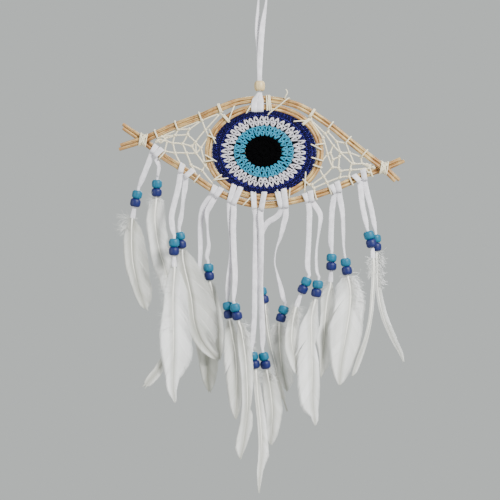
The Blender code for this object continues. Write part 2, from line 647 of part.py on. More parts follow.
def build():
    clear_scene()
    stuff = make_materials()
    root = make_pivot("nail_pivot", (0, 0, 0))
    frame = make_pivot("frame_pivot", (HANGER_X, 0, THROAT_Z), root)
    bead_pivot = make_pivot("bead_pivot", (HANGER_X, 0, WOOD_BEAD_Z), root)

    make_hanging_loop(stuff["lace"], root)
    make_wooden_bead(stuff["wood"], bead_pivot)
    make_hanger_wrap(stuff["lace"], frame)
    make_bow("upper_bow", UPPER_BOW, -1, stuff["cane"], frame)
    make_bow("lower_bow", LOWER_BOW, 1, stuff["cane"], frame)
    make_hoop(stuff["cane"], frame)
    tip_size = {"length": 3.5, "height": 10.6, "depth": 7.0}
    for side, (x, z, slant) in CROSSINGS.items():
        make_binding(f"{side}_tip_binding", (x, 0, z), slant, tip_size, stuff["thread"], frame)
    top_size = {"length": 3.5, "height": 13.7, "depth": 3.8}
    make_binding("top_thread_binding", (4.8, 0, -105.6), 3.0, top_size, stuff["thread"], frame)
    make_yarn_ring("navy_ring", NAVY_EDGE, WHITE_EDGE, stuff["navy"], frame)
    make_yarn_ring("white_ring", WHITE_EDGE, TURQUOISE_EDGE, stuff["white"], frame)
    make_yarn_ring("turquoise_ring", TURQUOISE_EDGE, PUPIL_EDGE, stuff["turquoise"], frame)
    make_pupil(stuff["black"], frame)
    make_web("left_web", ((-79, 0, -142.5), (-79, 0, -133)), (214.0, 133.0), stuff["thread"], frame)
    make_web("right_web", ((84, 0, -158.0), (84, 0, -151.5)), (-43.0, 41.0), stuff["thread"], frame)

    pair = bead_pair_mesh(stuff["beads"])
    for number, lace in LACES.items():
        pivot = make_pivot(f"lace_{number}_pivot", knot_centre(lace), frame)
        make_lace(number, lace, stuff["lace"], pivot)
        for letter, tail in lace["tails"].items():
            make_beads(f"beads_{number}{letter}", tail, pair, pivot)
            make_feather(f"feather_{number}{letter}", tail, stuff["feather"], pivot)


build()
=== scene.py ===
"""Looks of the eye ornament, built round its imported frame.

Lengths in the tables and in the shape-making functions are millimetres, in the frame of the CAD:
+X to the viewer's right, +Z up, -Y towards the viewer, with the nail at the origin.
"""

import math
import random

import bmesh
import bpy
from bpy.props import FloatProperty, FloatVectorProperty, IntProperty, PointerProperty
from mathutils import Matrix, Vector, noise


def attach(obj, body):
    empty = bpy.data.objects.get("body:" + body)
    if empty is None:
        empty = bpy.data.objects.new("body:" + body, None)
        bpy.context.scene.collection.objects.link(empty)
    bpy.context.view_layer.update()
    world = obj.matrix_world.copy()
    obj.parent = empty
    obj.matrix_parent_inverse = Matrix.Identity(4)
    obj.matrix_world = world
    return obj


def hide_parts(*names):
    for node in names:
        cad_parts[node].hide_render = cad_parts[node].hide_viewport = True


bl_info = {
    "name": "Eye ornament",
    "version": (1, 0, 0),
    "blender": (4, 5, 0),
    "location": "View3D > Sidebar > Ornament",
    "description": "Builds a cane and crochet eye ornament with beaded, feathered laces",
    "category": "Add Mesh",
}

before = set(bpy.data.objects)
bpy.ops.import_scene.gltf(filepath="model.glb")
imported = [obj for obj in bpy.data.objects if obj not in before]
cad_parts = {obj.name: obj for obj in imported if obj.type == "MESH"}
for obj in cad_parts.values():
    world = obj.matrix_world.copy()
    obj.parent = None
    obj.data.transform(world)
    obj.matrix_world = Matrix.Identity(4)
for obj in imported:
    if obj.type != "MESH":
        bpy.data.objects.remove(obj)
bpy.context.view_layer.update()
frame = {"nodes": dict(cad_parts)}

MM = 0.001
FORWARD = Vector((0, -1, 0))
UP = Vector((0, 0, 1))

# ---------------------------------------------------------------- layout shared with the CAD
CANE_SPREAD = 1.47
CROSSING_OFFSET = 1.65
CROSSING_START, CROSSING_FULL = 70.0, 94.0
UPPER_BOW = [
    (-121, -143), (-100.5, -136.5), (-90.5, -132), (-75, -125), (-52, -116.5), (-37.5, -110.3),
    (-20.5, -104.3), (-0.5, -102.1), (19, -104.3), (36, -110.5), (57.5, -124.5), (71, -135.5),
    (86.5, -148), (102, -160), (114, -171.5)]
LOWER_BOW = [
    (-118.5, -124), (-100.5, -136.5), (-83, -150.5), (-72, -157.5), (-59.5, -166), (-46.5, -175),
    (-34, -182), (-16.5, -188.6), (-2, -190.9), (9.5, -190.6), (29, -186.8), (48.5, -181.5),
    (68, -174), (87, -165), (102, -160), (119, -152.5)]
EYE_CENTRE = Vector((1.5, 0.0, -146.5))
HOOP_LINE = (47.1, 37.95)
# Half width and half height of the eye's edges: pupil, turquoise, white, navy.
EYE_EDGES = [(0.0, 0.0), (15.4, 12.9), (25.0, 21.5), (36.0, 30.1), (43.6, 35.0)]
# Its inner rounds lie a little up and left of the hoop's own centre.
EYE_DRIFT = Vector((-1.0, 0.0, 0.6))
PUPIL, TURQUOISE, WHITE, NAVY = 1, 2, 3, 4
HANGER_X, THROAT_Z = -2.4, -96.4
WOOD_BEAD_Z = -91.0

# Laces.  wraps: x of the two turns round the cane.  wide: the turns take in bow and hoop.
# gather: how far the two turns lean together at the bottom.  Each tail: route from knot to
# beads, the two bead centres, the lace's end below them (None when it ends inside), twist in
# degrees at knot, middle and beads, then the feather: its shaft, depth at the tip, roll about
# the shaft, whiteness, and as shares of the shaft: vane (share, left, right), splits (share,
# side, degrees open) and down (from, to, side, hairs, length).  A lock of barbs may hang loose.
# A feather's whiteness holds its own grey-cream tint and painted shade: feathers that hang in shade are given
# less of it.
LACES = {
    1: {"wraps": (-91.6, -87.2), "wide": False, "gather": 1.2, "pivot": (-89.0, -145.7), "tails": {
        "a": {"route": [(-97.5, 2.8, -159), (-102.5, 4.6, -171)],
              "beads": [(-106, 6, -182), (-107.5, 6.4, -189)], "end": (-110, 7.2, -202),
              "twist": (10, 25, 0),
              "feather": [(-111, -220.5), (-110, -239), (-105.5, -259.5), (-99.5, -278.5)],
              "tip_y": 10.0, "roll": 12, "white": 0.45,
              "vane": [(0, 2, 3), (0.08, 5, 9), (0.2, 7, 12.5), (0.35, 7, 15), (0.55, 6.3, 15.6),
                       (0.7, 5.6, 14), (0.85, 4.8, 10.5), (0.95, 3.5, 6), (1, 1, 2)],
              "splits": [(0.6, 1, 2.5)],
              "down": [(0, 0.14, -1, 70, 15), (0, 0.08, 1, 20, 6)]},
        "b": {"route": [(-87.5, 3.0, -158), (-88.5, 5.2, -166)],
              "beads": [(-89.3, 7, -173.2), (-89.6, 7.6, -180)], "end": None,
              "twist": (0, 60, 75),
              "feather": [(-91.3, -201), (-89.5, -219), (-86.5, -233), (-83, -244), (-78.5, -262.5),
                          (-77, -278)],
              "tip_y": 14.0, "roll": -8, "white": 0.8,
              "vane": [(0, 4, 7), (0.06, 6, 9), (0.2, 7.7, 10.5), (0.4, 7.8, 11), (0.6, 9, 10),
                       (0.8, 8, 8), (0.93, 4.5, 5), (1, 1, 1)],
              "splits": [(0.42, 1, 4), (0.5, 1, 3)],
              "down": [(0, 0.06, -1, 40, 9), (0, 0.04, 1, 18, 5), (0.6, 0.85, -1, 50, 12)]}}},
    2: {"wraps": (-69.0, -60.6), "wide": False, "gather": 2.4, "pivot": (-66.5, -161.2), "tails": {
        "a": {"route": [(-71, -0.8, -177), (-74.5, -1.6, -191), (-76.5, -2.4, -201.5),
                        (-75.4, -3, -212)],
              "beads": [(-74.2, -3.4, -223), (-74.3, -3.5, -230)], "end": (-74, -4, -243),
              "twist": (0, 15, 10),
              "feather": [(-75.2, -271), (-74.5, -312.5), (-75, -342), (-73.5, -357)],
              "tip_y": -5.5, "roll": 6, "white": 0.95,
              "vane": [(0, 4, 4), (0.05, 5.5, 7.5), (0.16, 7.5, 13.4), (0.3, 8.8, 15),
                       (0.47, 12.5, 16.5), (0.6, 12, 17), (0.68, 11, 15.5), (0.75, 8.6, 11),
                       (0.82, 6.8, 5.8), (0.88, 6, 4), (0.92, 4.5, 3), (0.97, 2, 2.2), (1, 0.8, 0.8)],
              "lock": [(-80, -1, -316), (-87, 0, -329), (-98.3, 1, -343)],
              "splits": [(0.3, 1, 2.5), (0.7, -1, 5), (0.52, 1, 1.5)],
              "down": [(0.08, 0.5, -1, 100, 13.5)]},
        "b": {"route": [(-65.6, 1.2, -178), (-67, 1.8, -187.5), (-68.2, 2.6, -198),
                        (-70, 3.2, -207)],
              "beads": [(-69.6, 3.6, -217.3), (-68.6, 3.6, -224.2)], "end": None,
              "twist": (0, 60, 20),
              "feather": [(-67, -239), (-62.5, -258.5), (-60, -271), (-57, -292), (-50, -308),
                          (-38, -321.5)],
              "tip_y": 4.6, "roll": 3, "white": 0.5,
              "vane": [(0, 3, 4), (0.06, 5, 10), (0.15, 7, 15), (0.35, 8, 18), (0.55, 8, 20),
                       (0.75, 6, 19), (0.88, 4.5, 11), (0.96, 3, 5), (1, 1, 1)],
              "splits": [(0.62, 1, 3)],
              "down": [(0, 0.05, 1, 15, 6)]}}},
    3: {"wraps": (-41.4, -36.4), "wide": False, "gather": 1.4, "pivot": (-39.5, -179.1), "tails": {
        "a": {"route": [(-47.6, 1.8, -189), (-50.8, 3, -195.5), (-52.3, 4.6, -205.5),
                        (-52.6, 6, -217.2), (-52.6, 7.4, -230), (-53.3, 8.6, -243)],
              "beads": [(-52.2, 9.8, -259), (-51.6, 9.8, -265.9)], "end": None,
              "twist": (0, 30, 60),
              "feather": [(-50, -288), (-47.5, -313), (-46.5, -334.5), (-45, -349.5)],
              "tip_y": 14.5, "roll": 10, "white": 0.35,
              "vane": [(0, 3, 3), (0.1, 6, 7), (0.3, 9, 10), (0.5, 9.5, 10.5), (0.62, 8.3, 10),
                       (0.75, 6.8, 9.1), (0.87, 4.8, 7.3), (0.94, 3.2, 4.5), (1, 1, 1.2)],
              "splits": [(0.7, 1, 2)],
              "down": [(0, 0.1, 1, 15, 6)]},
        "b": {"route": [(-43.6, -0.3, -191), (-46.8, 0.8, -198), (-46.6, 2.6, -208),
                        (-46, 4.6, -218), (-45.5, 6.2, -225.7), (-47.2, 8, -234.9)],
              "beads": [(-45.8, 9.4, -244.1), (-45.2, 9.4, -251)], "end": None,
              "twist": (0, 80, 30),
              "feather": [(-42.5, -264.5), (-39.5, -284), (-37.5, -305), (-36.5, -321.5)],
              "tip_y": 9.4, "roll": -20, "white": 0.5,
              "vane": [(0, 2, 2), (0.1, 4, 3.5), (0.3, 6, 5), (0.5, 6.5, 5.5), (0.7, 6, 5.5),
                       (0.9, 4, 3.5), (1, 1, 1)],
              "splits": [(0.35, 1, 9)],
              "down": [(0, 0.12, -1, 15, 5), (0, 0.12, 1, 25, 6)]}}},
    4: {"wraps": (-25.9, -20.3), "wide": True, "gather": 1.5, "pivot": (-23.5, -182.4), "tails": {
        "a": {"route": [(-27.6, -0.4, -196), (-27, -1.4, -206), (-26, -2.6, -221.4),
                        (-26.4, -3.6, -235), (-28.4, -4.6, -251.8), (-29.3, -5.4, -267)],
              "beads": [(-29, -5.8, -276), (-28.2, -5.8, -282.8)], "end": None,
              "twist": (0, 50, 20),
              "feather": [(-25.5, -300), (-22.5, -318), (-21.5, -345), (-22.5, -370.5)],
              "tip_y": -7.4, "roll": 12, "white": 0.55,
              "vane": [(0, 2, 2), (0.08, 6, 4), (0.2, 8.5, 5), (0.4, 12, 5), (0.6, 9.5, 4.5),
                       (0.75, 8, 4.5), (0.85, 6.2, 4.3), (0.93, 3.6, 3.5), (1, 0.6, 0.6)],
              "splits": [(0.36, -1, 8)],
              "down": [(0, 0.1, -1, 20, 7)]},
        "b": {"route": [(-24.2, -2.7, -197), (-24.6, -4.8, -213), (-23.8, -7, -234.1),
                        (-23, -9.2, -251.8), (-24, -11.2, -267)],
              "beads": [(-22.9, -12.4, -277), (-21.3, -12.4, -283.7)], "end": None,
              "twist": (0, 15, 40),
              "feather": [(-17.5, -297), (-14.5, -317.5), (-13, -338.5), (-12.5, -359.5),
                          (-14.5, -380.5), (-18.5, -403.5)],
              "tip_y": -12.8, "roll": 15, "white": 0.66,
              "vane": [(0, 2, 2), (0.1, 5, 6), (0.25, 6, 6.2), (0.4, 5, 6), (0.5, 5.2, 4.5),
                       (0.6, 5.3, 3), (0.635, 5.5, 2.1), (0.66, 5.6, 4.5), (0.75, 5.9, 5.6),
                       (0.85, 7, 3.8), (0.92, 6.5, 2.5), (0.97, 3, 1), (1, 0.3, 0.3)],
              "splits": [],
              "down": [(0.02, 0.22, 1, 90, 11), (0, 0.1, -1, 20, 6)]}}},
    5: {"wraps": (-8.4, 1.5), "wide": True, "gather": 2.6, "pivot": (-4.5, -187.4), "tails": {
        "a": {"route": [(-5.4, 1.0, -201), (-5.6, 1, -212), (-5.7, 1, -226), (-6.1, 0.9, -241.7),
                        (-6.3, 0.8, -258.5), (-6.7, 0.5, -275.3), (-7.3, 0.2, -292.2),
                        (-8.6, 0, -308)],
              "beads": [(-8.1, -0.2, -318.5), (-6.7, -0.2, -325.2)], "end": None,
              "twist": (0, 10, 35),
              "feather": [(-4, -351), (-1.5, -376.5), (-0.5, -397.5), (-2, -414.5), (-3, -433)],
              "tip_y": -3.0, "roll": -20, "white": 0.78,
              "vane": [(0, 2, 2), (0.1, 2.8, 3), (0.2, 2.9, 3.8), (0.345, 2.9, 4.8), (0.556, 3, 5.6),
                       (0.69, 3.4, 5.9), (0.74, 3, 4.2), (0.82, 2.8, 2.8), (0.925, 1.8, 1.4),
                       (1, 0.3, 0.3)],
              "splits": [(0.5, 1, 3)],
              "down": [(0, 0.12, -1, 50, 7), (0, 0.1, 1, 40, 6)]},
        "b": {"route": [(-1.7, -1, -201), (-1, -1, -212.2), (-1.2, -1, -229), (-1.4, -0.9, -245.9),
                        (-1.6, -0.8, -262.7), (-0.8, -0.5, -279.5), (0.1, -0.1, -300.6)],
              "beads": [(1.1, 0.2, -318.7), (2.5, 0.2, -325.5)], "end": None,
              "twist": (10, -35, 20),
              "feather": [(6.5, -347), (8.5, -368), (7, -393)],
              "tip_y": 3.0, "roll": 10, "white": 0.66,
              "vane": [(0, 3, 3), (0.1, 6, 7), (0.3, 7, 8), (0.5, 7, 9), (0.62, 6.5, 7.5),
                       (0.75, 6, 6.2), (0.85, 5, 5.3), (0.93, 3.5, 3.8), (1, 1, 1.2)],
              "splits": [(0.45, -1, 4)],
              "down": [(0, 0.15, -1, 60, 9), (0, 0.14, 1, 60, 9)]}}},
    6: {"wraps": (13.4, 19.0), "wide": True, "gather": 1.2, "pivot": (16.5, -185.9), "tails": {
        "a": {"route": [(14.5, 1.5, -198), (10.5, 2.6, -202), (4.2, 3.4, -206), (-0.4, 4, -213.5),
                        (-2.7, 4.4, -224), (-3.6, 4.8, -237.4), (-3.2, 5.2, -250)],
              "beads": [(-0.5, 5.6, -264), (1.1, 5.6, -270.7)], "end": None,
              "twist": (0, 20, 20),
              "feather": [(4, -294), (7, -310), (11, -326), (14.5, -343.5), (21, -365.5)],
              "tip_y": 6.0, "roll": 20, "white": 0.7,
              "vane": [(0, 1.6, 1.6), (0.2, 2.2, 2.2), (0.5, 1.9, 2), (0.7, 2.1, 2.4), (0.8, 2.5, 2.4),
                       (0.86, 2.2, 2.2), (0.89, 0.6, 0.9), (1, 0.3, 0.4)],
              "splits": [],
              "down": [(0, 0.1, -1, 12, 4), (0, 0.1, 1, 14, 4)]},
        "b": {"route": [(19.6, 0.6, -200), (17.7, 1.6, -208), (15.2, 2.6, -218), (11.4, 3.6, -229),
                        (10.2, 4.4, -239.1), (12.6, 5.2, -250.1), (15.6, 6, -261),
                        (17.6, 6.6, -270)],
              "beads": [(17.9, 7, -279.8), (15.8, 7, -286.4)], "end": None,
              "twist": (0, 95, 20),
              "feather": [(14.5, -309), (16.5, -328.5), (21, -348.5)],
              "tip_y": 10.5, "roll": 0, "white": 0.9,
              "vane": [(0, 4, 3), (0.08, 7, 5), (0.3, 6.5, 6.5), (0.5, 5.5, 7), (0.7, 4.5, 8),
                       (0.83, 3.5, 6.8), (0.93, 2, 3.2), (1, 0.4, 0.4)],
              "splits": [(0.55, 1, 3)],
              "down": [(0, 0.3, -1, 90, 10), (0, 0.25, 1, 70, 9)]}}},
    7: {"wraps": (36.2, 41.4), "wide": False, "gather": 1.3, "pivot": (38.5, -184.4), "tails": {
        "a": {"route": [(39.4, -0.8, -197), (39.2, -1.8, -208.8), (38.5, -3.2, -225.7),
                        (37.8, -4.6, -242.5)],
              "beads": [(36.6, -5.8, -255.6), (33.7, -5.8, -261.9)], "end": (28.3, -6.6, -276.5),
              "twist": (0, 25, 10),
              "feather": [(25, -292), (24.5, -306.5), (27.5, -321.5), (30.5, -333.5)],
              "tip_y": -7.6, "roll": -10, "white": 0.6,
              "vane": [(0, 2, 2), (0.15, 4, 5), (0.4, 5.5, 7), (0.65, 5.8, 8), (0.85, 5, 7),
                       (0.95, 3, 4), (1, 1, 1)],
              "splits": [(0.35, 1, 5)],
              "down": [(0, 0.3, -1, 80, 6.5), (0, 0.3, 1, 90, 9)]},
        "b": {"route": [(46.2, 0.0, -194.6), (48.8, -1, -201), (47.4, -3.2, -213),
                        (45.2, -5.6, -229.9), (45.3, -7.8, -246)],
              "beads": [(46.1, -9, -257.9), (45, -9, -264.7)], "end": None,
              "twist": (10, 75, 60),
              "feather": [(41, -284), (41, -303), (41.5, -330), (42, -355.5), (44, -375.5)],
              "tip_y": -11.0, "roll": 8, "white": 0.92,
              "vane": [(0, 2, 2.5), (0.12, 4.5, 6), (0.18, 7.7, 7), (0.24, 10.4, 7), (0.31, 11.8, 4.4),
                       (0.36, 12.6, 3), (0.42, 13, 4.6), (0.51, 13.5, 6.2), (0.68, 13, 6.5),
                       (0.77, 12.2, 6), (0.83, 10.7, 5.2), (0.876, 8.4, 4.2), (0.9, 5.9, 4),
                       (0.927, 2.8, 3.8), (0.96, 2.3, 3), (1, 0.5, 0.5)],
              "splits": [(0.27, -1, 9), (0.86, 1, 3)],
              "down": [(0, 0.06, -1, 12, 5)]}}},
    8: {"wraps": (59.0, 64.2), "wide": False, "gather": 1.3, "pivot": (61.0, -176.9), "tails": {
        "a": {"route": [(59.8, 0.8, -187), (58.5, 1.2, -197), (57.9, 1.6, -212), (57.7, 1.8, -223)],
              "beads": [(58.3, 2, -235.7), (58.1, 2, -242.6)], "end": (57.3, 2.4, -256),
              "twist": (0, 20, 0),
              "feather": [(54.5, -271), (52.5, -292), (51.5, -313), (49.5, -336)],
              "tip_y": 5.0, "roll": -10, "white": 0.68,
              "vane": [(0, 2, 2), (0.08, 5, 5), (0.16, 6.5, 9), (0.3, 4.6, 11), (0.45, 4.5, 11),
                       (0.55, 6.8, 11), (0.62, 7.5, 10), (0.7, 5, 9.5), (0.8, 3.2, 8), (0.9, 2, 5),
                       (1, 0.5, 0.5)],
              "splits": [(0.1, -1, 12), (0.42, -1, 5)],
              "down": [(0, 0.1, -1, 14, 9)]},
        "b": {"route": [(65.4, -0.2, -187), (67.2, -0.8, -197), (67.9, -1.6, -212),
                        (68.2, -2, -225)],
              "beads": [(69.9, -2.4, -239.4), (70.9, -2.4, -246.2)], "end": None,
              "twist": (0, 50, 80),
              "feather": [(74, -264.5), (73.5, -276), (71.5, -291.5), (69, -306.5), (66, -326),
                          (64.5, -342.5)],
              "tip_y": -3.4, "roll": 4, "white": 0.82,
              "vane": [(0, 6, 5), (0.06, 13, 8), (0.17, 16.5, 10.5), (0.28, 17.5, 12),
                       (0.38, 18.5, 12.5), (0.49, 17.5, 13.5), (0.62, 14.5, 14), (0.72, 12, 12.5),
                       (0.82, 9, 10), (0.9, 6, 7), (0.96, 3.2, 4), (1, 0.8, 0.8)],
              "splits": [(0.14, -1, 4), (0.2, -1, 2)],
              "down": [(0, 0.3, 1, 120, 14.5), (0, 0.04, -1, 20, 7)]}}},
    9: {"wraps": (78.4, 86.2), "wide": False, "gather": 2.2, "pivot": (81.5, -167.5), "tails": {
        "a": {"route": [(82.8, -0.6, -180), (84, -2.2, -192), (86.7, -4.2, -205.4)],
              "beads": [(89.2, -6, -216.7), (91.1, -6.2, -223.4)], "end": (92.6, -6.6, -235.8),
              "twist": (0, 20, 20),
              "feather": [(93, -254.5), (92, -267), (90.5, -284), (86.5, -302.5), (80.5, -319),
                          (75, -334.5)],
              "tip_y": -7.2, "roll": -20, "white": 0.8,
              "vane": [(0, 1.6, 1.8), (0.1, 2.4, 2.6), (0.3, 2, 2.2), (0.5, 1.8, 2), (0.7, 1.6, 2.6),
                       (0.85, 1.5, 3.6), (0.95, 1.2, 3), (1, 0.5, 0.6)],
              "splits": [],
              "down": [(0, 0.16, -1, 70, 8), (0, 0.12, 1, 30, 7)]},
        "b": {"route": [(88.0, 0.9, -181), (91, 0.9, -192), (94, 0.8, -207)],
              "beads": [(95.5, 0.8, -219.5), (95.9, 0.8, -226.4)], "end": None,
              "twist": (0, 15, 30),
              "feather": [(96.5, -250), (97.5, -265), (101.5, -284), (109, -302.5), (116, -316),
                          (119, -323.5)],
              "tip_y": 1.6, "roll": 15, "white": 0.92,
              "vane": [(0, 1.5, 1.8), (0.15, 2.2, 3), (0.35, 2, 3.6), (0.6, 2.2, 4.4), (0.75, 2, 4),
                       (0.9, 1.4, 2.8), (0.96, 1, 1.6), (1, 0.4, 0.5)],
              "splits": [(0.72, 1, 4)],
              "down": [(0, 0.14, -1, 30, 7), (0, 0.32, 1, 90, 9)]}}},
}

# Knots of the thread nets, and the threads that join them.  Names that start with bow or hoop
# lie on the canes.
LEFT_NET = {
    "knots": {
        "a1": (-85.1, -133.3), "a2": (-71.1, -127.5), "a3": (-51.0, -119.8), "a4": (-35.5, -114.0),
        "b1": (-73.6, -132.4), "b2": (-63.1, -131.8), "b3": (-61.7, -127.2), "b4": (-48.1, -127.9),
        "c1": (-75.5, -139.0), "c2": (-67.5, -139.7), "c3": (-59.6, -141.8), "c4": (-56.5, -138.2),
        "c5": (-51.9, -143.1), "d1": (-82.2, -145.7), "d2": (-73.6, -147.4), "d3": (-64.2, -147.4),
        "d4": (-56.0, -147.4), "e1": (-60.3, -157.5), "e2": (-50.8, -162.1), "e3": (-48.2, -158.2),
        "twist_top": (-79.5, -134.5), "twist_end": (-80.2, -137.3), "twist": (-90.3, -138.0),
        "bow1": (-89.3, -130.6), "bow2": (-72.5, -124.7), "bow3": (-52.3, -116.3),
        "bow4": (-35.9, -111.8), "bow5": (-84.4, -149.8), "bow6": (-68.5, -157.2),
        "bow7": (-55.1, -167.0), "bow8": (-41.8, -173.2),
        "hoop1": (-31.7, -117.7), "hoop2": (-45.3, -133.4), "hoop3": (-45.3, -154.4),
        "hoop4": (-38.3, -168.4)},
    "threads": [
        "bow1 a1 b1", "a1 a2", "a2 a3", "a3 a4", "bow2 a2 b1", "a2 b3 a3", "bow3 a3 b4", "a4 b4 c4",
        "bow4 a4 hoop1", "b1 b2 b3", "b2 c2", "b2 c4", "b1 c1", "twist_top b1", "twist_end c1",
        "c1 c2 c3 c4", "c4 c5", "c5 hoop2", "twist_end d1", "c1 d2", "c2 d3", "c3 d4", "c4 d4",
        "d1 d2 d3 d4", "d4 c5", "d1 bow5", "d2 bow6", "d3 e1", "d4 e3", "c5 e3", "e1 e2", "e1 bow7",
        "e2 bow8", "e3 hoop3", "e2 e3", "e3 hoop4", "hoop2 b4"],
    "bundle": [("twist", "twist_top"), ("twist", "twist_end"), ("bow1", "twist_end"),
               ("twist", "a1")],
}
RIGHT_NET = {
    "knots": {
        "a1": (40.5, -119.6), "a2": (55.1, -129.8), "a3": (70.1, -139.3), "a4": (83.1, -150.9),
        "b1": (52.6, -131.0), "b2": (51.0, -134.4), "b3": (62.4, -137.9), "b4": (59.6, -141.2),
        "c1": (65.6, -147.1), "c2": (73.1, -147.1), "c3": (54.8, -148.1), "c4": (57.0, -147.3),
        "d1": (59.3, -152.8), "d2": (64.6, -150.5), "d3": (58.8, -159.3), "d4": (63.9, -159.9),
        "e1": (65.8, -162.6), "e2": (76.8, -156.3), "e3": (75.1, -156.2), "e4": (74.1, -161.5),
        "f1": (65.1, -167.9), "f2": (72.7, -167.2), "f3": (51.4, -167.1), "f4": (41.6, -174.1),
        "f5": (54.3, -172.1), "f6": (43.3, -176.9), "twist_top": (83.8, -156.3),
        "twist_end": (86.0, -160.5), "twist": (95.0, -159.4),
        "bow1": (41.9, -114.9), "bow2": (57.3, -124.6), "bow3": (72.2, -135.6),
        "bow4": (86.0, -147.8), "bow5": (44.5, -182.6), "bow6": (57.0, -178.7),
        "bow7": (74.7, -172.0), "bow8": (91.5, -165.2),
        "hoop1": (36.1, -121.4), "hoop2": (47.0, -140.1), "hoop3": (47.0, -158.7),
        "hoop4": (38.3, -172.9)},
    "threads": [
        "bow1 a1 hoop1", "a1 b1", "a1 b2", "bow2 a2 b1", "a2 b3 a3", "bow3 a3 c2", "b3 c1", "b1 b4",
        "b4 c1", "b4 c4", "b2 c3", "b2 hoop2", "c3 c4 d1", "c3 d3", "c1 c2 a4", "c2 e2", "c1 e3",
        "bow4 a4 twist_top", "c1 d2 d4", "d1 d3", "d3 d4 e1", "d1 d2", "e2 twist_top", "e3 e4",
        "e1 e4", "e1 f1", "e4 twist_end", "e4 f2", "f1 f2 bow7", "d3 f3", "c3 hoop3", "f3 hoop3",
        "f3 f4", "f4 hoop4", "f3 f5", "f5 f1", "f5 f6", "f6 hoop4", "f6 bow5", "f5 bow6",
        "twist_end bow8"],
    "bundle": [("twist", "twist_top"), ("twist", "twist_end"), ("twist", "twist_top"),
               ("bow8", "twist_end")],
}
# Stitches that lace the crochet to the hoop: where each ends in the navy yarn, and where it
# crosses the hoop.
LACING = [
    ((-29.1, -121.4), (-23.9, -108.2)), ((-39.4, -139.4), (-44.6, -127.9)),
    ((-38.8, -154.6), (-47.9, -149.2)), ((-29.1, -168.6), (-41.2, -170.2)),
    ((-13.6, -114.0), (-9.8, -107.4)), ((26.3, -120.9), (36.6, -120.3)),
    ((40.8, -140.1), (49.4, -144.6)), ((36.3, -163.3), (35.4, -179.6)),
    ((23.1, -177.2), (22.2, -185.6)), ((-6.2, -180.9), (-16.4, -191.4)),
    ((41.2, -151.2), (50.4, -154.0)), ((12.4, -178.4), (13.2, -188.0))]
LONG_THREAD = [(4.4, -2.4, -115.8), (6.4, -3.0, -113.4), (13.5, -3.6, -108.2), (20.4, -2.6, -102.4),
               (22.6, 0.0, -101.2), (22.6, 2.4, -103.6), (20.6, 1.8, -107.2)]
LOOSE_END = [(18.6, -2.0, -101.6), (19.6, -2.8, -99.4), (20.8, -3.0, -97.4), (20.4, -2.8, -95.2),
             (19.6, -2.6, -94.0)]


# ---------------------------------------------------------------- settings
def colour(hex_value):
    """Linear colour, with alpha, from an sRGB hex value."""
    channels = [int(hex_value[place:place + 2], 16) / 255 for place in (1, 3, 5)]
    linear = [c / 12.92 if c <= 0.04045 else ((c + 0.055) / 1.055) ** 2.4 for c in channels]
    return (*linear, 1.0)


def length_setting(name, description, millimetres):
    return FloatProperty(name=name, description=description, default=millimetres * MM, min=0.0,
                         unit="LENGTH", precision=5)


def colour_setting(name, description, hex_value):
    return FloatVectorProperty(name=name, description=description, default=colour(hex_value),
                               size=4, min=0.0, max=1.0, subtype="COLOR")


class CaneSettings(bpy.types.PropertyGroup):
    radius: length_setting("Radius", "Radius of one cane", 1.5)
    wood: colour_setting("Wood", "Main colour of the peeled cane", "#a8824a")
    pale: colour_setting("Pale fibres", "Lightest fibres along the cane", "#dcc48a")
    dark: colour_setting("Dark fibres", "Stained fibres along the cane", "#583814")


class YarnSettings(bpy.types.PropertyGroup):
    radius: length_setting("Radius", "Radius of the crocheted yarn", 0.76)
    navy: colour_setting("Navy", "Ground of the tweedy outer rounds", "#030128")
    navy_fleck: colour_setting("Navy fleck", "Flecks of the tweedy outer rounds", "#4d45c8")
    white: colour_setting("White", "Yarn of the white rounds", "#e4dfe8")
    turquoise: colour_setting("Turquoise", "Yarn of the turquoise rounds", "#0094b8")
    black: colour_setting("Black", "Yarn of the pupil", "#020203")


class LaceSettings(bpy.types.PropertyGroup):
    width: length_setting("Width", "Width of the suede lace", 4.8)
    thickness: length_setting("Thickness", "Thickness of the suede lace", 1.2)
    suede: colour_setting("Suede", "Colour of the suede", "#e2dfe4")


class BeadSettings(bpy.types.PropertyGroup):
    radius: length_setting("Radius", "Largest radius of a painted bead", 4.45)
    height: length_setting("Height", "Height of a painted bead", 7.1)
    upper: colour_setting("Upper", "Paint of the upper bead", "#016684")
    lower: colour_setting("Lower", "Paint of the lower bead", "#08185a")
    wood: colour_setting("Wood", "Colour of the bare wooden bead", "#d9c08c")


class ThreadSettings(bpy.types.PropertyGroup):
    radius: length_setting("Radius", "Radius of the waxed thread", 0.74)
    thread: colour_setting("Thread", "Colour of the waxed thread", "#f0e6c8")


class FeatherSettings(bpy.types.PropertyGroup):
    barb_spacing: length_setting("Barb spacing", "Distance between barbs along the shaft", 0.5)
    barb_width: length_setting("Barb width", "Width of one barb", 0.58)
    white: colour_setting("White", "Colour of the whitest barbs", "#fbfbfa")
    # The greyest barbs are those of feathers that hang in shade: painted shade as well as their own tint.
    grey: colour_setting("Grey", "Colour of the greyest barbs", "#b4b4a6")
    shaft: colour_setting("Shaft", "Colour of the shaft", "#fffdf4")


class StageSettings(bpy.types.PropertyGroup):
    floor: colour_setting("Floor", "Colour of the floor", "#f0f0ee")
    backdrop: colour_setting("Backdrop", "Colour of the light that surrounds the stage", "#d6dbd9")
    camera_distance: FloatProperty(name="Camera distance", description="Camera to ornament",
                                   default=1.2, min=0.5, unit="LENGTH")
    frame_width: FloatProperty(name="Frame width", description="Width that the picture takes in",
                               default=0.421, min=0.1, unit="LENGTH")
    glow: FloatProperty(name="Surround strength", description="Strength of the light all round",
                        default=0.84, min=0.0)
    seed: IntProperty(name="Seed", description="Seed of every random choice", default=11, min=0)


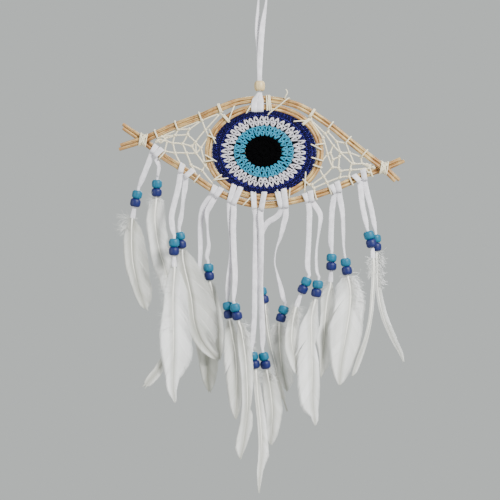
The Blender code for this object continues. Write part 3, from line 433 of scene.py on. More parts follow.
class OrnamentSettings(bpy.types.PropertyGroup):
    cane: PointerProperty(type=CaneSettings)
    yarn: PointerProperty(type=YarnSettings)
    lace: PointerProperty(type=LaceSettings)
    bead: PointerProperty(type=BeadSettings)
    thread: PointerProperty(type=ThreadSettings)
    feather: PointerProperty(type=FeatherSettings)
    stage: PointerProperty(type=StageSettings)


# ---------------------------------------------------------------- paths
def catmull_rom(before, start, end, after, t):
    return 0.5 * (2.0 * start + (end - before) * t
                  + (2.0 * before - 5.0 * start + 4.0 * end - after) * t * t
                  + (3.0 * start - before - 3.0 * end + after) * t ** 3)


def path_length(path):
    return sum((second - first).length for first, second in zip(path, path[1:]))


def smooth_path(points, count):
    """That many evenly spaced points along a smooth curve through the given ones."""
    knots = [Vector(point) for point in points]
    padded = [2 * knots[0] - knots[1], *knots, 2 * knots[-1] - knots[-2]]
    dense = []
    for index in range(len(knots) - 1):
        for part in range(16):
            dense.append(catmull_rom(*padded[index:index + 4], part / 16))
    dense.append(knots[-1])
    lengths = [0.0]
    for first, second in zip(dense, dense[1:]):
        lengths.append(lengths[-1] + (second - first).length)
    path, index = [], 1
    for number in range(count):
        wanted = lengths[-1] * number / (count - 1)
        while index < len(dense) - 1 and lengths[index] < wanted:
            index += 1
        share = (wanted - lengths[index - 1]) / max(lengths[index] - lengths[index - 1], 1e-9)
        path.append(dense[index - 1].lerp(dense[index], share))
    return path


def smooth_step(value, low, high):
    share = min(1.0, max(0.0, (value - low) / (high - low)))
    return share * share * (3.0 - 2.0 * share)


def bow_depth(x):
    """How far a bow leans out of the flat at x, so that the two bows pass at the tips."""
    return CROSSING_OFFSET * smooth_step(abs(x), CROSSING_START, CROSSING_FULL)


def bow_path(points, towards, count=130):
    return smooth_path([(x, towards * bow_depth(x), z) for x, z in points], count)


def bow_point(path, x):
    """The bow's middle line at x, and its direction there."""
    for first, second in zip(path, path[1:]):
        if first.x <= x <= second.x:
            return first.lerp(second, (x - first.x) / (second.x - first.x)), (second - first).normalized()
    raise ValueError("no bow at this place")


def eye_place(angle, level, depth=0.0):
    """A point on the eye: level 0 is its centre, and 1 to 4 are the edges of its four bands."""
    band = min(int(level), len(EYE_EDGES) - 2)
    inner, outer = EYE_EDGES[band], EYE_EDGES[band + 1]
    share = level - band
    across = inner[0] + (outer[0] - inner[0]) * share
    up = inner[1] + (outer[1] - inner[1]) * share
    centre = EYE_CENTRE + EYE_DRIFT * (1 - level / 4)
    return centre + Vector((across * math.cos(angle), depth, up * math.sin(angle)))


def hoop_place(angle, offset=0.0, depth=0.0):
    return EYE_CENTRE + Vector(((HOOP_LINE[0] + offset) * math.cos(angle), depth,
                                (HOOP_LINE[1] + offset) * math.sin(angle)))


def eye_angle(point):
    """The hoop's own angle for a place near it."""
    return math.atan2((point.z - EYE_CENTRE.z) / HOOP_LINE[1], (point.x - EYE_CENTRE.x) / HOOP_LINE[0])


def even_angles(count, level):
    """Angles that space stitches evenly round a level of the eye."""
    fine = 720
    ring = [eye_place(2 * math.pi * step / fine, level) for step in range(fine + 1)]
    runs = [0.0]
    for first, second in zip(ring, ring[1:]):
        runs.append(runs[-1] + (second - first).length)
    angles, index = [], 0
    for number in range(count):
        while runs[index + 1] < runs[-1] * number / count:
            index += 1
        angles.append(2 * math.pi * index / fine)
    return angles


def loop_path(centre, across, half_across, half_depth, turns=1.0, pitch=0.0, start=-90.0,
              squareness=0.55, count=25, gather=0.0):
    """A thread or lace wound round canes: across is the direction over them, in the flat.
    Gather moves the turn along the canes at its bottom."""
    forward = across.cross(FORWARD).normalized()
    path = []
    for number in range(count):
        share = number / (count - 1)
        angle = math.radians(start + 360.0 * turns * share)
        wide, deep = math.sin(angle), math.cos(angle)
        wide = math.copysign(abs(wide) ** squareness, wide)
        deep = math.copysign(abs(deep) ** squareness, deep)
        path.append(centre + across * half_across * wide + FORWARD * half_depth * deep
                    + forward * (pitch * turns * (share - 0.5) + gather * (1 - wide) / 2))
    return path


# ---------------------------------------------------------------- shapes
def new_shape():
    """A bmesh whose corners know their tube, their place along it and a random shade."""
    shape = bmesh.new()
    shape.verts.layers.int.new("corner")
    shape.faces.layers.int.new("tube")
    shape.verts.layers.float_vector.new("straight")
    shape.verts.layers.float.new("shade")
    return shape


def round_section(radius, sides):
    turn = 2 * math.pi / sides
    return [(radius * math.cos(turn * side), radius * math.sin(turn * side)) for side in range(sides)]


def lace_section(width, thickness):
    """A strip with rounded edges."""
    flat, edge, half = width / 2 - thickness * 0.3, width / 2, thickness / 2
    return [(-flat, -half), (0, -half), (flat, -half), (edge, -half * 0.4), (edge, half * 0.4),
            (flat, half), (0, half), (-flat, half), (-edge, half * 0.4), (-edge, -half * 0.4)]


def stations_along(path, section_at, facing, twist_at=None):
    """For each point of a path, its section's corners, each with where it lies on a straight tube."""
    stations, run, last = [], 0.0, len(path) - 1
    for index, point in enumerate(path):
        if index:
            run += (point - path[index - 1]).length
        along = (path[min(index + 1, last)] - path[max(index - 1, 0)]).normalized()
        outward = facing(index) if callable(facing) else facing
        side = along.cross(outward).normalized()
        out = side.cross(along)
        if twist_at:
            angle = math.radians(twist_at(index / last))
            side, out = (side * math.cos(angle) + out * math.sin(angle),
                         out * math.cos(angle) - side * math.sin(angle))
        section = section_at(index / last)
        stations.append([(point + side * u + out * v, (u, v, run)) for u, v in section])
    return stations


def grow_tubes(shape, tubes, shades=None, material=0):
    """Grow closed tubes, all in step, by extruding their end faces from station to station."""
    corner_layer = shape.verts.layers.int["corner"]
    tube_layer = shape.faces.layers.int["tube"]
    straight_layer = shape.verts.layers.float_vector["straight"]
    shade_layer = shape.verts.layers.float["shade"]
    ends = []
    for number, tube in enumerate(tubes):
        corners = []
        for index, (place, straight) in enumerate(tube[0]):
            vert = shape.verts.new(place)
            vert[corner_layer] = index
            vert[straight_layer] = straight
            vert[shade_layer] = shades[number] if shades else 0.5
            corners.append(vert)
        face = shape.faces.new(corners)
        face[tube_layer] = number
        face.material_index = material
        ends.append(face)
    starts = list(ends)
    for step in range(1, len(tubes[0])):
        grown = bmesh.ops.extrude_face_region(shape, geom=ends)["geom"]
        if step > 1:
            bmesh.ops.delete(shape, geom=ends, context="FACES_ONLY")
        ends = [item for item in grown if isinstance(item, bmesh.types.BMFace)]
        for face in ends:
            station = tubes[face[tube_layer]][step]
            for vert in face.verts:
                vert.co, vert[straight_layer] = station[vert[corner_layer]]
    return starts + ends


def spin_shape(outline, segments):
    """A closed solid turned about Z from an outline of radius and height pairs."""
    shape = new_shape()
    verts = [shape.verts.new((radius, 0, height)) for radius, height in outline]
    edges = [shape.edges.new(pair) for pair in zip(verts, verts[1:] + verts[:1])]
    bmesh.ops.spin(shape, geom=verts + edges, cent=(0, 0, 0), axis=(0, 0, 1), dvec=(0, 0, 0),
                   angle=2 * math.pi, steps=segments, use_merge=True, use_duplicate=False)
    bmesh.ops.remove_doubles(shape, verts=shape.verts, dist=0.0005)
    straight = shape.verts.layers.float_vector["straight"]
    for vert in shape.verts:
        vert[straight] = vert.co
    return shape


def finish_piece(name, shape, materials, body, nodes=(), sharp=None):
    """Turn a bmesh in millimetres into a finished piece that rides on a body."""
    bmesh.ops.recalc_face_normals(shape, faces=shape.faces)
    bmesh.ops.scale(shape, verts=shape.verts, vec=(MM, MM, MM))
    shape.verts.layers.int.remove(shape.verts.layers.int["corner"])
    shape.faces.layers.int.remove(shape.faces.layers.int["tube"])
    mesh = bpy.data.meshes.new(name)
    shape.to_mesh(mesh)
    shape.free()
    for material in materials:
        mesh.materials.append(material)
    mesh.shade_smooth()
    if sharp is not None:
        mesh.set_sharp_from_angle(angle=math.radians(sharp))
    piece = bpy.data.objects.new(name, mesh)
    bpy.context.scene.collection.objects.link(piece)
    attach(piece, body)
    if nodes:
        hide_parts(*nodes)
    return piece


# ---------------------------------------------------------------- materials
def add_node(material, kind, settings=None, links=None):
    """Add a node, set its properties and sockets, and link other nodes' outputs into it."""
    node = material.node_tree.nodes.new(kind)
    for key, value in (settings or {}).items():
        if isinstance(key, str) and hasattr(node, key):
            setattr(node, key, value)
        else:
            node.inputs[key].default_value = value
    for key, source in (links or {}).items():
        material.node_tree.links.new(source, node.inputs[key])
    return node


def start_material(name, settings):
    """A material with its shader set to constants, and its shader node."""
    made = bpy.data.materials.get(name)
    if made:
        bpy.data.materials.remove(made)
    made = bpy.data.materials.new(name)
    made.use_nodes = True
    shader = made.node_tree.nodes["Principled BSDF"]
    for key, value in settings.items():
        shader.inputs[key].default_value = value
    return made, shader


def finish_material(made, shader, colour_out=None, height=None, bump=0.3, depth_mm=0.05, roughness=None):
    """Link colour, roughness and relief to the shader. depth_mm is the relief's real depth."""
    links = made.node_tree.links
    if colour_out:
        links.new(colour_out, shader.inputs["Base Color"])
    if roughness:
        links.new(roughness, shader.inputs["Roughness"])
    if height:
        relief = add_node(made, "ShaderNodeBump", {"Strength": bump, "Distance": depth_mm * MM},
                          {"Height": height})
        links.new(relief.outputs["Normal"], shader.inputs["Normal"])
    return made


def straight_coordinates(made, stretch=(1, 1, 1)):
    """Coordinates in millimetres on the piece pulled straight: across, through and along."""
    source = add_node(made, "ShaderNodeAttribute", {"attribute_name": "straight"})
    return add_node(made, "ShaderNodeMapping", {"Scale": stretch}, {"Vector": source.outputs["Vector"]})


def ply_height(made, pitch, plies):
    """Ridges of twisted plies: the height of a strand that turns round once every pitch millimetres."""
    source = add_node(made, "ShaderNodeAttribute", {"attribute_name": "straight"})
    split = add_node(made, "ShaderNodeSeparateXYZ", {}, {"Vector": source.outputs["Vector"]})
    angle = add_node(made, "ShaderNodeMath", {"operation": "ARCTAN2"},
                     {0: split.outputs["Y"], 1: split.outputs["X"]})
    turned = add_node(made, "ShaderNodeMath", {"operation": "MULTIPLY", 1: float(plies)},
                      {0: angle.outputs[0]})
    phase = add_node(made, "ShaderNodeMath", {"operation": "MULTIPLY_ADD", 1: plies * 2 * math.pi / pitch},
                     {0: split.outputs["Z"], 2: turned.outputs[0]})
    wave = add_node(made, "ShaderNodeMath", {"operation": "SINE"}, {0: phase.outputs[0]})
    return wave.outputs[0]


def ramp(made, source, stops):
    node = add_node(made, "ShaderNodeValToRGB", {}, {"Fac": source})
    while len(node.color_ramp.elements) < len(stops):
        node.color_ramp.elements.new(0.5)
    for element, (place, tint) in zip(node.color_ramp.elements, stops):
        element.position = place
        element.color = tint
    return node.outputs["Color"]


def peeled_cane(settings):
    """Rattan core, peeled and dried: long fibres with open pores, stained here and there, slightly waxy."""
    made, shader = start_material("peeled_rattan_cane", {"Roughness": 0.52})
    # Fibres 0.25 mm across and about 15 mm long.
    fibres = add_node(made, "ShaderNodeTexNoise", {"Scale": 1.9, "Detail": 4.0, "Roughness": 0.6},
                      {"Vector": straight_coordinates(made, (1, 1, 0.035)).outputs["Vector"]})
    stains = add_node(made, "ShaderNodeTexNoise", {"Scale": 0.06, "Detail": 3.0, "Roughness": 0.6},
                      {"Vector": straight_coordinates(made, (1, 1, 1)).outputs["Vector"]})
    grain = ramp(made, fibres.outputs["Fac"], [(0.34, settings.dark), (0.46, settings.wood),
                                               (0.62, settings.pale)])
    tint = ramp(made, stains.outputs["Fac"], [(0.4, colour("#bf8f58")), (0.56, colour("#ffffff"))])
    mixed = add_node(made, "ShaderNodeMix", {"data_type": "RGBA", "blend_type": "MULTIPLY", "Factor": 0.75})
    made.node_tree.links.new(grain, mixed.inputs[6])
    made.node_tree.links.new(tint, mixed.inputs[7])
    return finish_material(made, shader, mixed.outputs[2], fibres.outputs["Fac"], 0.6, 0.12)


def cane_pith(settings):
    """Cut end of rattan: open pores 0.3 mm wide, dull and darker than the side."""
    made, shader = start_material("cut_rattan_pith", {"Roughness": 0.85})
    pores = add_node(made, "ShaderNodeTexVoronoi", {"Scale": 2.6},
                     {"Vector": straight_coordinates(made).outputs["Vector"]})
    tone = ramp(made, pores.outputs["Distance"], [(0.05, settings.dark), (0.45, settings.wood)])
    return finish_material(made, shader, tone, pores.outputs["Distance"], 0.5, 0.1)


def suede(settings):
    """Split suede cut into lace: a soft nap that turns pale and dark as it is stroked."""
    made, shader = start_material("white_suede_lace", {"Roughness": 0.92, "Sheen Weight": 0.25,
                                                       "Sheen Roughness": 0.5})
    nap = add_node(made, "ShaderNodeTexNoise", {"Scale": 0.35, "Detail": 3.0, "Roughness": 0.55},
                   {"Vector": straight_coordinates(made, (1, 1, 0.5)).outputs["Vector"]})
    fibres = add_node(made, "ShaderNodeTexNoise", {"Scale": 4.0, "Detail": 2.0},
                      {"Vector": straight_coordinates(made).outputs["Vector"]})
    shadow = tuple(channel * 0.78 for channel in settings.suede[:3]) + (1.0,)
    tone = ramp(made, nap.outputs["Fac"], [(0.32, shadow), (0.62, tuple(settings.suede))])
    return finish_material(made, shader, tone, fibres.outputs["Fac"], 0.5, 0.1)


def twisted_thread(settings):
    """Waxed cotton thread of two plies, which shows as slanting ridges 1.4 mm apart."""
    made, shader = start_material("waxed_cotton_thread", {"Roughness": 0.5})
    plies = ply_height(made, 2.8, 2)
    shadow = tuple(channel * 0.72 for channel in settings.thread[:3]) + (1.0,)
    tone = ramp(made, plies, [(0.0, shadow), (0.6, tuple(settings.thread))])
    return finish_material(made, shader, tone, plies, 0.6, 0.08)


def yarn(name, dark, light, flecks=0.0, sheen=0.3, specular=0.4):
    """Spun acrylic yarn of three plies, soft and matt, with a halo of fine fibres in its sheen."""
    made, shader = start_material(name, {"Roughness": 0.92, "Sheen Weight": sheen, "Sheen Roughness": 0.5,
                                         "Specular IOR Level": specular})
    plies = ply_height(made, 3.6, 3)
    fuzz = add_node(made, "ShaderNodeTexNoise", {"Scale": 1.15, "Detail": 2.0, "Roughness": 0.6},
                    {"Vector": straight_coordinates(made).outputs["Vector"]})
    if flecks:
        tone = ramp(made, fuzz.outputs["Fac"], [(0.54, tuple(dark)), (0.54 + flecks, tuple(light))])
    else:
        # Without flecks, the grooves between the plies take the dark colour: painted shade in the grooves.
        tone = ramp(made, plies, [(0.0, tuple(dark)), (0.55, tuple(light))])
    return finish_material(made, shader, tone, plies, 0.55, 0.15)


def painted_wood(name, paint):
    """Beech beads dipped in water paint: an even, silky coat, with faint streaks of the grain under it."""
    made, shader = start_material(name, {"Roughness": 0.5, "Specular IOR Level": 0.4})
    grain = add_node(made, "ShaderNodeTexNoise", {"Scale": 0.9, "Detail": 3.0},
                     {"Vector": straight_coordinates(made, (1, 1, 0.25)).outputs["Vector"]})
    deep = tuple(channel * 0.72 for channel in paint[:3]) + (1.0,)
    tone = ramp(made, grain.outputs["Fac"], [(0.3, deep), (0.7, tuple(paint))])
    return finish_material(made, shader, tone, grain.outputs["Fac"], 0.25, 0.12)


def bare_wood(settings):
    """Bare turned beech: pale, with fine straight grain and a low polish."""
    made, shader = start_material("bare_beech_bead", {"Roughness": 0.45})
    grain = add_node(made, "ShaderNodeTexNoise", {"Scale": 0.8, "Detail": 4.0, "Roughness": 0.65},
                     {"Vector": straight_coordinates(made, (1, 1, 0.15)).outputs["Vector"]})
    shadow = tuple(channel * 0.6 for channel in settings.wood[:3]) + (1.0,)
    tone = ramp(made, grain.outputs["Fac"], [(0.3, shadow), (0.6, tuple(settings.wood))])
    return finish_material(made, shader, tone, grain.outputs["Fac"], 0.3, 0.1)


def feather_vane(settings):
    """Keratin barbs: white and thin, with a soft silky shine."""
    made, shader = start_material("white_feather_vane", {"Roughness": 0.6, "Sheen Weight": 0.2,
                                                         "Sheen Roughness": 0.4})
    # The shade attribute is each barb's whiteness: its feather's whiteness, partly painted shade, with random
    # tone per clump and barb.
    shade = add_node(made, "ShaderNodeAttribute", {"attribute_name": "shade"})
    tone = ramp(made, shade.outputs["Fac"], [(0.0, tuple(settings.grey)), (1.0, tuple(settings.white))])
    # Barbs are greyer over their first 7 mm, where they are thick and lie in the shaft's shade.
    split = add_node(made, "ShaderNodeSeparateXYZ", {}, {"Vector": straight_coordinates(made).outputs["Vector"]})
    depth = add_node(made, "ShaderNodeMapRange", {"From Min": 0.0, "From Max": 7.0},
                     {"Value": split.outputs["Z"]})
    along = ramp(made, depth.outputs["Result"], [(0.0, colour("#bdbdb6")), (1.0, colour("#ffffff"))])
    mixed = add_node(made, "ShaderNodeMix", {"data_type": "RGBA", "blend_type": "MULTIPLY"})
    mixed.inputs[0].default_value = 1.0
    made.node_tree.links.new(tone, mixed.inputs[6])
    made.node_tree.links.new(along, mixed.inputs[7])
    return finish_material(made, shader, mixed.outputs[2])


def feather_shaft(settings):
    """Keratin quill: smooth, cream and slightly glossy."""
    made, shader = start_material("cream_feather_quill", {"Roughness": 0.35})
    streaks = add_node(made, "ShaderNodeTexNoise", {"Scale": 0.8, "Detail": 2.0},
                       {"Vector": straight_coordinates(made, (1, 1, 0.1)).outputs["Vector"]})
    shadow = tuple(channel * 0.75 for channel in settings.shaft[:3]) + (1.0,)
    tone = ramp(made, streaks.outputs["Fac"], [(0.3, shadow), (0.6, tuple(settings.shaft))])
    return finish_material(made, shader, tone)


def pale_floor(settings):
    """Matt painted board."""
    made, shader = start_material("matt_floor_paint", {"Roughness": 0.9, "Base Color": settings.floor})
    return made


# ---------------------------------------------------------------- laces, beads and feathers
def lace_width_at(share_to_beads, width, thickness):
    """The lace is folded narrow where it enters the beads."""
    squeeze = smooth_step(share_to_beads, 0.0, 1.0)
    return lace_section(width + (2.6 - width) * squeeze, thickness + (2.2 - thickness) * squeeze)


def wrap_place(lace, x):
    """Middle of a lace's turn round the cane at x, the direction over the cane and its half size."""
    point, along = bow_point(bow_path(LOWER_BOW, 1), x)
    over = along.cross(FORWARD).normalized()
    if over.z < 0:
        over = -over
    if not lace["wide"]:
        return point, over, 3.05
    flat = Vector((point.x, 0, point.z))
    angle = -math.acos(max(-1.0, min(1.0, (x - EYE_CENTRE.x) / (HOOP_LINE[0] - 3.0))))
    inside = hoop_place(angle, -3.0)
    outside = flat - over * 3.0
    return (inside + outside) / 2, over, (inside - outside).length / 2


def tail_path(lace, tail, start):
    upper, lower = (Vector(bead) for bead in tail["beads"])
    centre, axis = (upper + lower) / 2, (lower - upper).normalized()
    top, bottom = centre - axis * 6.9, centre + axis * 6.9
    points = [start, *tail["route"], top - axis * 3.0]
    hanging = smooth_path(points, max(14, round(path_length([Vector(p) for p in points]) / 2.2)))
    if tail["end"] is None:
        through = [top, centre, bottom - axis * 2.6]
    else:
        end = Vector(tail["end"])
        through = [top, centre, bottom, bottom.lerp(end, 0.3), bottom.lerp(end, 0.65), end]
    return hanging + through, len(hanging), centre, axis


def tail_sections(path, free, settings):
    """Section of the lace at each point: flat, then folded through the beads, then flat again."""
    width, thickness = settings.width / MM, settings.thickness / MM
    runs = [0.0]
    for first, second in zip(path, path[1:]):
        runs.append(runs[-1] + (second - first).length)
    sections = []
    for index, run in enumerate(runs):
        before_beads = (runs[free] - run) if index <= free else 0.0
        squeeze = 1.0 - smooth_step(before_beads, 1.0, 11.0)
        if index > free + 2:
            squeeze = 1.0 - 0.75 * smooth_step(index, free + 2, free + 4)
        wide = width + (2.5 - width) * squeeze
        thick = thickness + (2.0 - thickness) * squeeze
        sections.append(lace_section(wide, thick))
    return sections


def make_lace_tail(key, lace, tail, wrap_x, settings, material):
    """One tail of a lace, from its turn round the cane through its beads."""
    middle, over, half = wrap_place(lace, wrap_x)
    inward = over.cross(FORWARD).normalized() * lace["gather"]
    if inward.x * (sum(lace["wraps"]) / 2 - wrap_x) < 0:
        inward = -inward
    start = middle - over * (half + 0.4) + inward
    path, free, centre, axis = tail_path(lace, tail, start)
    sections = tail_sections(path, free, settings)
    knot, halfway, beads = tail["twist"]
    last = len(path) - 1

    def twist_at(share):
        reach = min(1.0, share * last / free)
        bend = knot + (halfway - knot) * smooth_step(reach, 0.05, 0.5)
        return bend + (beads - halfway) * smooth_step(reach, 0.5, 1.0)

    shape = new_shape()
    stations = stations_along(path, lambda share: sections[round(share * last)], FORWARD, twist_at)
    grow_tubes(shape, [stations])
    number = key[0]
    piece = finish_piece(f"lace_tail_{key}", shape, [material], f"lace_{number}",
                         [f"lace_{number}"], sharp=50)
    return piece, path, centre, axis


def bead_outline(radius, height, bore, rim_share, fullness):
    """Half profile of a barrel bead with a bore: its side is a rounded bow."""
    half = height / 2
    rim = radius * rim_share
    rim_height = half - 0.25
    side = []
    for step in range(9):
        z = half * (1 - step / 4)
        bulge = (1 - abs(z / half) ** fullness) ** (1 / 2.0)
        side.append((rim + (radius - rim) * bulge, z * rim_height / half))
    lip = [(rim - 0.35, half), (bore + 0.5, half), (bore, half - 0.5)]
    bottom = [(bore, -half + 0.5), (bore + 0.5, -half), (rim - 0.35, -half)]
    return [*reversed(lip), *side, *reversed(bottom)]


def make_bead(name, centre, axis, outline, material, body, nodes, segments=28, turn=0.0):
    shape = spin_shape(outline, segments)
    rotation = (-axis).to_track_quat("Z", "Y").to_matrix().to_4x4() @ Matrix.Rotation(turn, 4, "Z")
    bmesh.ops.transform(shape, matrix=Matrix.Translation(centre) @ rotation, verts=shape.verts)
    return finish_piece(name, shape, [material], body, nodes, sharp=60)


def make_painted_beads(key, centre, axis, settings, paints, randomness):
    """The turquoise bead and the royal blue bead on a tail."""
    pieces = []
    for word, side, paint in (("turquoise", -1, paints[0]), ("royal_blue", 1, paints[1])):
        radius = settings.radius / MM * randomness.uniform(0.96, 1.02)
        height = settings.height / MM * randomness.uniform(0.97, 1.0)
        outline = bead_outline(radius, height, 1.6, 0.74, 2.8)
        tilt = Vector((randomness.uniform(-0.05, 0.05), randomness.uniform(-0.05, 0.05), 0))
        place = centre + axis * side * 3.55
        pieces.append(make_bead(f"{word}_bead_{key}", place, (axis + tilt).normalized(), outline,
                                paint, f"lace_{key[0]}", [f"beads_{key}"]))
    return pieces


def vane_width(rows, share, side):
    """Width of a vane on one side of the shaft at a share of its length."""
    column = 1 if side < 0 else 2
    for low, high in zip(rows, rows[1:]):
        if share <= high[0]:
            rest = (share - low[0]) / (high[0] - low[0])
            return low[column] + (high[column] - low[column]) * rest
    return rows[-1][column]


def barb_reach(rows, share, side, slope, total):
    """How far from the shaft a barb ends, so that its end lies on the vane's outline."""
    low, high = 0.0, 24.0
    run = 1.0 / (math.tan(math.radians(slope)) * total)
    for _ in range(11):
        middle = (low + high) / 2
        if vane_width(rows, share + middle * run, side) > middle:
            low = middle
        else:
            high = middle
    return low


def shaft_frames(points, roll_degrees, count):
    """Points of a feather's shaft with, at each, its directions along, across and out."""
    path = smooth_path(points, count)
    roll = math.radians(roll_degrees)
    frames = []
    for index, point in enumerate(path):
        along = (path[min(index + 1, count - 1)] - path[max(index - 1, 0)]).normalized()
        across = FORWARD.cross(along).normalized()
        out = along.cross(across).normalized()
        turned = across * math.cos(roll) + out * math.sin(roll)
        frames.append((point, along, turned, turned.cross(along).normalized()))
    return frames


def shaft_points(tail, centre, axis):
    """Points that a feather's shaft runs through, from its foot in the bead or the lace."""
    if tail["end"] is None:
        start = centre + axis * 4.4
        second = centre + axis * 8.4
    else:
        end = Vector(tail["end"])
        axis = (end - centre).normalized()
        start, second = end - axis * 3.0, end + axis * 3.0
    shaft = tail["feather"]
    fall = second.z - shaft[-1][1]
    depths = [second.y + (tail["tip_y"] - second.y) * (second.z - z) / fall for _, z in shaft]
    return [start, second, *((x, y, z) for (x, z), y in zip(shaft, depths))]


def frame_at(frames, share):
    """Blend of the two nearest frames."""
    place = max(0.0, min(share, 0.9999)) * (len(frames) - 1)
    index = int(place)
    rest = place - index
    return [first.lerp(second, rest) for first, second in zip(frames[index], frames[index + 1])]


def split_lean(share, side, splits):
    """How far barbs lean away from the splits in a vane, in degrees."""
    lean = 0.0
    for place, split_side, opening in splits:
        if split_side == side:
            distance = share - place
            lean -= math.copysign(opening / 2, distance) * math.exp(-abs(distance) / 0.035)
    return lean


def barb_stations(frames, share, side, reach, slope, lean, width, sag, steps=6):
    """One barb: it leaves the shaft at a slope, and bends towards the tip of the feather."""
    point, along, across, out = frame_at(frames, share)
    across = across * side
    length = reach / math.sin(math.radians(slope))
    path, place = [], point.copy()
    for step in range(steps):
        part = step / (steps - 1)
        angle = math.radians(slope * (1.14 - 0.32 * part) + lean * part)
        if step:
            place = place + (across * math.sin(angle) + along * math.cos(angle)) * length / (steps - 1)
        path.append(place - out * sag * part * part)

    def section_at(part):
        half = width / 2 * (1.0 - 0.7 * part ** 6)
        ridge = 0.075 * (1.0 - 0.5 * part)
        return [(-half, 0), (0, ridge), (half, 0), (0, -ridge)]

    return stations_along(path, section_at, out)


def grow_vanes(shape, frames, rows, splits, white, foot, settings, randomness):
    """Both vanes of a feather, one barb after another from foot to tip."""
    total = path_length([frame[0] for frame in frames])
    width = settings.barb_width / MM
    facing_scale = 1.0 / max(0.5, abs(frames[0][2].normalized().x))
    barbs, shades = [], []
    for side in (-1, 1):
        share, left, gather = foot, 0, 0.0
        tone, swell = 0.0, 0.0
        while share < 0.99:
            if left <= 0:
                left = size = randomness.randint(9, 26)
                tone, swell = randomness.uniform(-0.14, 0.1), randomness.uniform(-0.3, 0.3)
                gather = randomness.uniform(0.3, 2.0)
            vane_share = (share - foot) / (1 - foot)
            slope = 38.0 - 13.0 * vane_share ** 1.5 + 48.0 * math.exp(-vane_share / 0.07)
            reach = barb_reach(rows, vane_share, side, slope, total) * facing_scale
            reach = max(0.7, reach * randomness.uniform(0.965, 1.02))
            lean = (left / size - 0.5) * -gather + split_lean(vane_share, side, splits)
            sag = (0.9 + swell) * (reach / 12) ** 2 + 0.35 * math.sin(vane_share * 9 + side) * reach / 12
            barbs.append(barb_stations(frames, share, side, reach, slope,
                                       lean + randomness.uniform(-0.35, 0.35), width, sag))
            # Barb whiteness: the feather's whiteness, partly painted shade, with random tone per clump and barb.
            shades.append(white + tone + randomness.uniform(-0.06, 0.06))
            share += settings.barb_spacing / MM / total
            left -= 1
    grow_tubes(shape, barbs, shades)


def hair_stations(frames, share, side, length, randomness, steps=8):
    """One hair of down: thin, limp and curled, standing off the shaft."""
    point, along, across, out = frame_at(frames, share)
    heading = (across * side * randomness.uniform(0.6, 1.1) + along * randomness.uniform(-0.45, 0.8)
               + out * randomness.uniform(-0.15, 0.1)).normalized()
    bend = Vector([randomness.uniform(-1, 1) for _ in range(3)]) * randomness.uniform(0.1, 0.45)
    place, path = point.copy(), [point.copy()]
    for _ in range(steps - 1):
        place = place + heading * length / (steps - 1)
        heading = (heading + bend * 0.55 - UP * 0.06).normalized()
        bend = bend + Vector([randomness.uniform(-1, 1) for _ in range(3)]) * 0.25
        path.append(place)
    return stations_along(path, lambda part: round_section(0.15 * (1 - 0.55 * part), 3), out)


def make_feather(key, tail, centre, axis, settings, materials, seed):
    """A contour feather: shaft, two vanes of separate barbs with their splits, and down at its foot."""
    randomness = random.Random(f"{seed} feather {key}")
    frames = shaft_frames(shaft_points(tail, centre, axis), tail["roll"], 44)
    total = path_length([frame[0] for frame in frames])
    foot = 4.5 / total
    shape = new_shape()

    def shaft_section(share):
        radius = 0.98 - 0.22 * smooth_step(share, 0.0, 0.25)
        return round_section(radius * (1.0 - 0.85 * share ** 1.1) + 0.05, 8)

    shaft = stations_along([frame[0] + frame[3] * 0.3 for frame in frames], shaft_section, frames[0][3])
    grow_tubes(shape, [shaft], [0.8], material=1)
    grow_vanes(shape, frames, tail["vane"], tail["splits"], tail["white"], foot, settings, randomness)
    if "lock" in tail:
        # The loose lock hangs behind its feather and is drawn 0.4 less white: painted shade.
        lock = shaft_frames(tail["lock"], 10, 20)
        grow_vanes(shape, lock, [(0, 2.5, 2), (0.3, 4, 3.6), (0.75, 4.2, 3.8), (0.93, 3, 3), (1, 1.6, 1.4)],
                   [(0.8, 1, 6)], tail["white"] - 0.4, 0.0, settings, randomness)
    hairs, shades = [], []
    for low, high, side, number, length in tail["down"]:
        for _ in range(number):
            place = foot * 0.6 + (1 - foot) * randomness.uniform(low, high)
            hairs.append(hair_stations(frames, place, side, length * randomness.uniform(0.6, 1.1), randomness))
            shades.append(min(1.0, tail["white"] + 0.2))
    grow_tubes(shape, hairs, shades)
    return finish_piece(f"feather_{key}_plume", shape, materials, f"lace_{key[0]}",
                        [f"feather_{key}"])


# ---------------------------------------------------------------- frame: canes, loop, knots
def rough_section(radius, sides, index, seed):
    """A cane's section: nearly round, swelling and thinning a little along its length."""
    section = []
    for side in range(sides):
        angle = 2 * math.pi * side / sides
        swell = noise.noise(Vector((seed * 7.3, index * 0.11, 0)))
        ridge = noise.noise(Vector((math.cos(angle) * 1.3 + seed, math.sin(angle) * 1.3, index * 0.05)))
        size = radius * (1 + 0.05 * swell + 0.06 * ridge)
        section.append((size * math.cos(angle), size * math.sin(angle)))
    return section


def make_cane(name, path, radius, seed, materials, node):
    """One cane with cut ends."""
    last = len(path) - 1

    def section_at(share):
        index = round(share * last)
        cut = 0.9 if index in (0, last) else 1.0
        return rough_section(radius * cut, 14, index, seed)

    shape = new_shape()
    ends = grow_tubes(shape, [stations_along(path, section_at, FORWARD)], [0.5])
    for face in ends:
        face.material_index = 1
    return finish_piece(name, shape, materials, "frame", [node], sharp=55)


def cane_line(path, offset, seed, trim):
    """The middle line of one cane of a pair, which wanders slightly."""
    line = []
    for index, point in enumerate(path[trim[0]:len(path) - trim[1]]):
        place = index + trim[0]
        before, after = path[max(place - 1, 0)], path[min(place + 1, len(path) - 1)]
        side = (after - before).cross(FORWARD).normalized()
        wander = 0.12 * noise.noise(Vector((seed * 3.1, place * 0.09, 0)))
        depth = 0.22 * noise.noise(Vector((seed * 5.7, place * 0.06, 4)))
        line.append(point + side * (offset + wander) + FORWARD * depth)
    return line


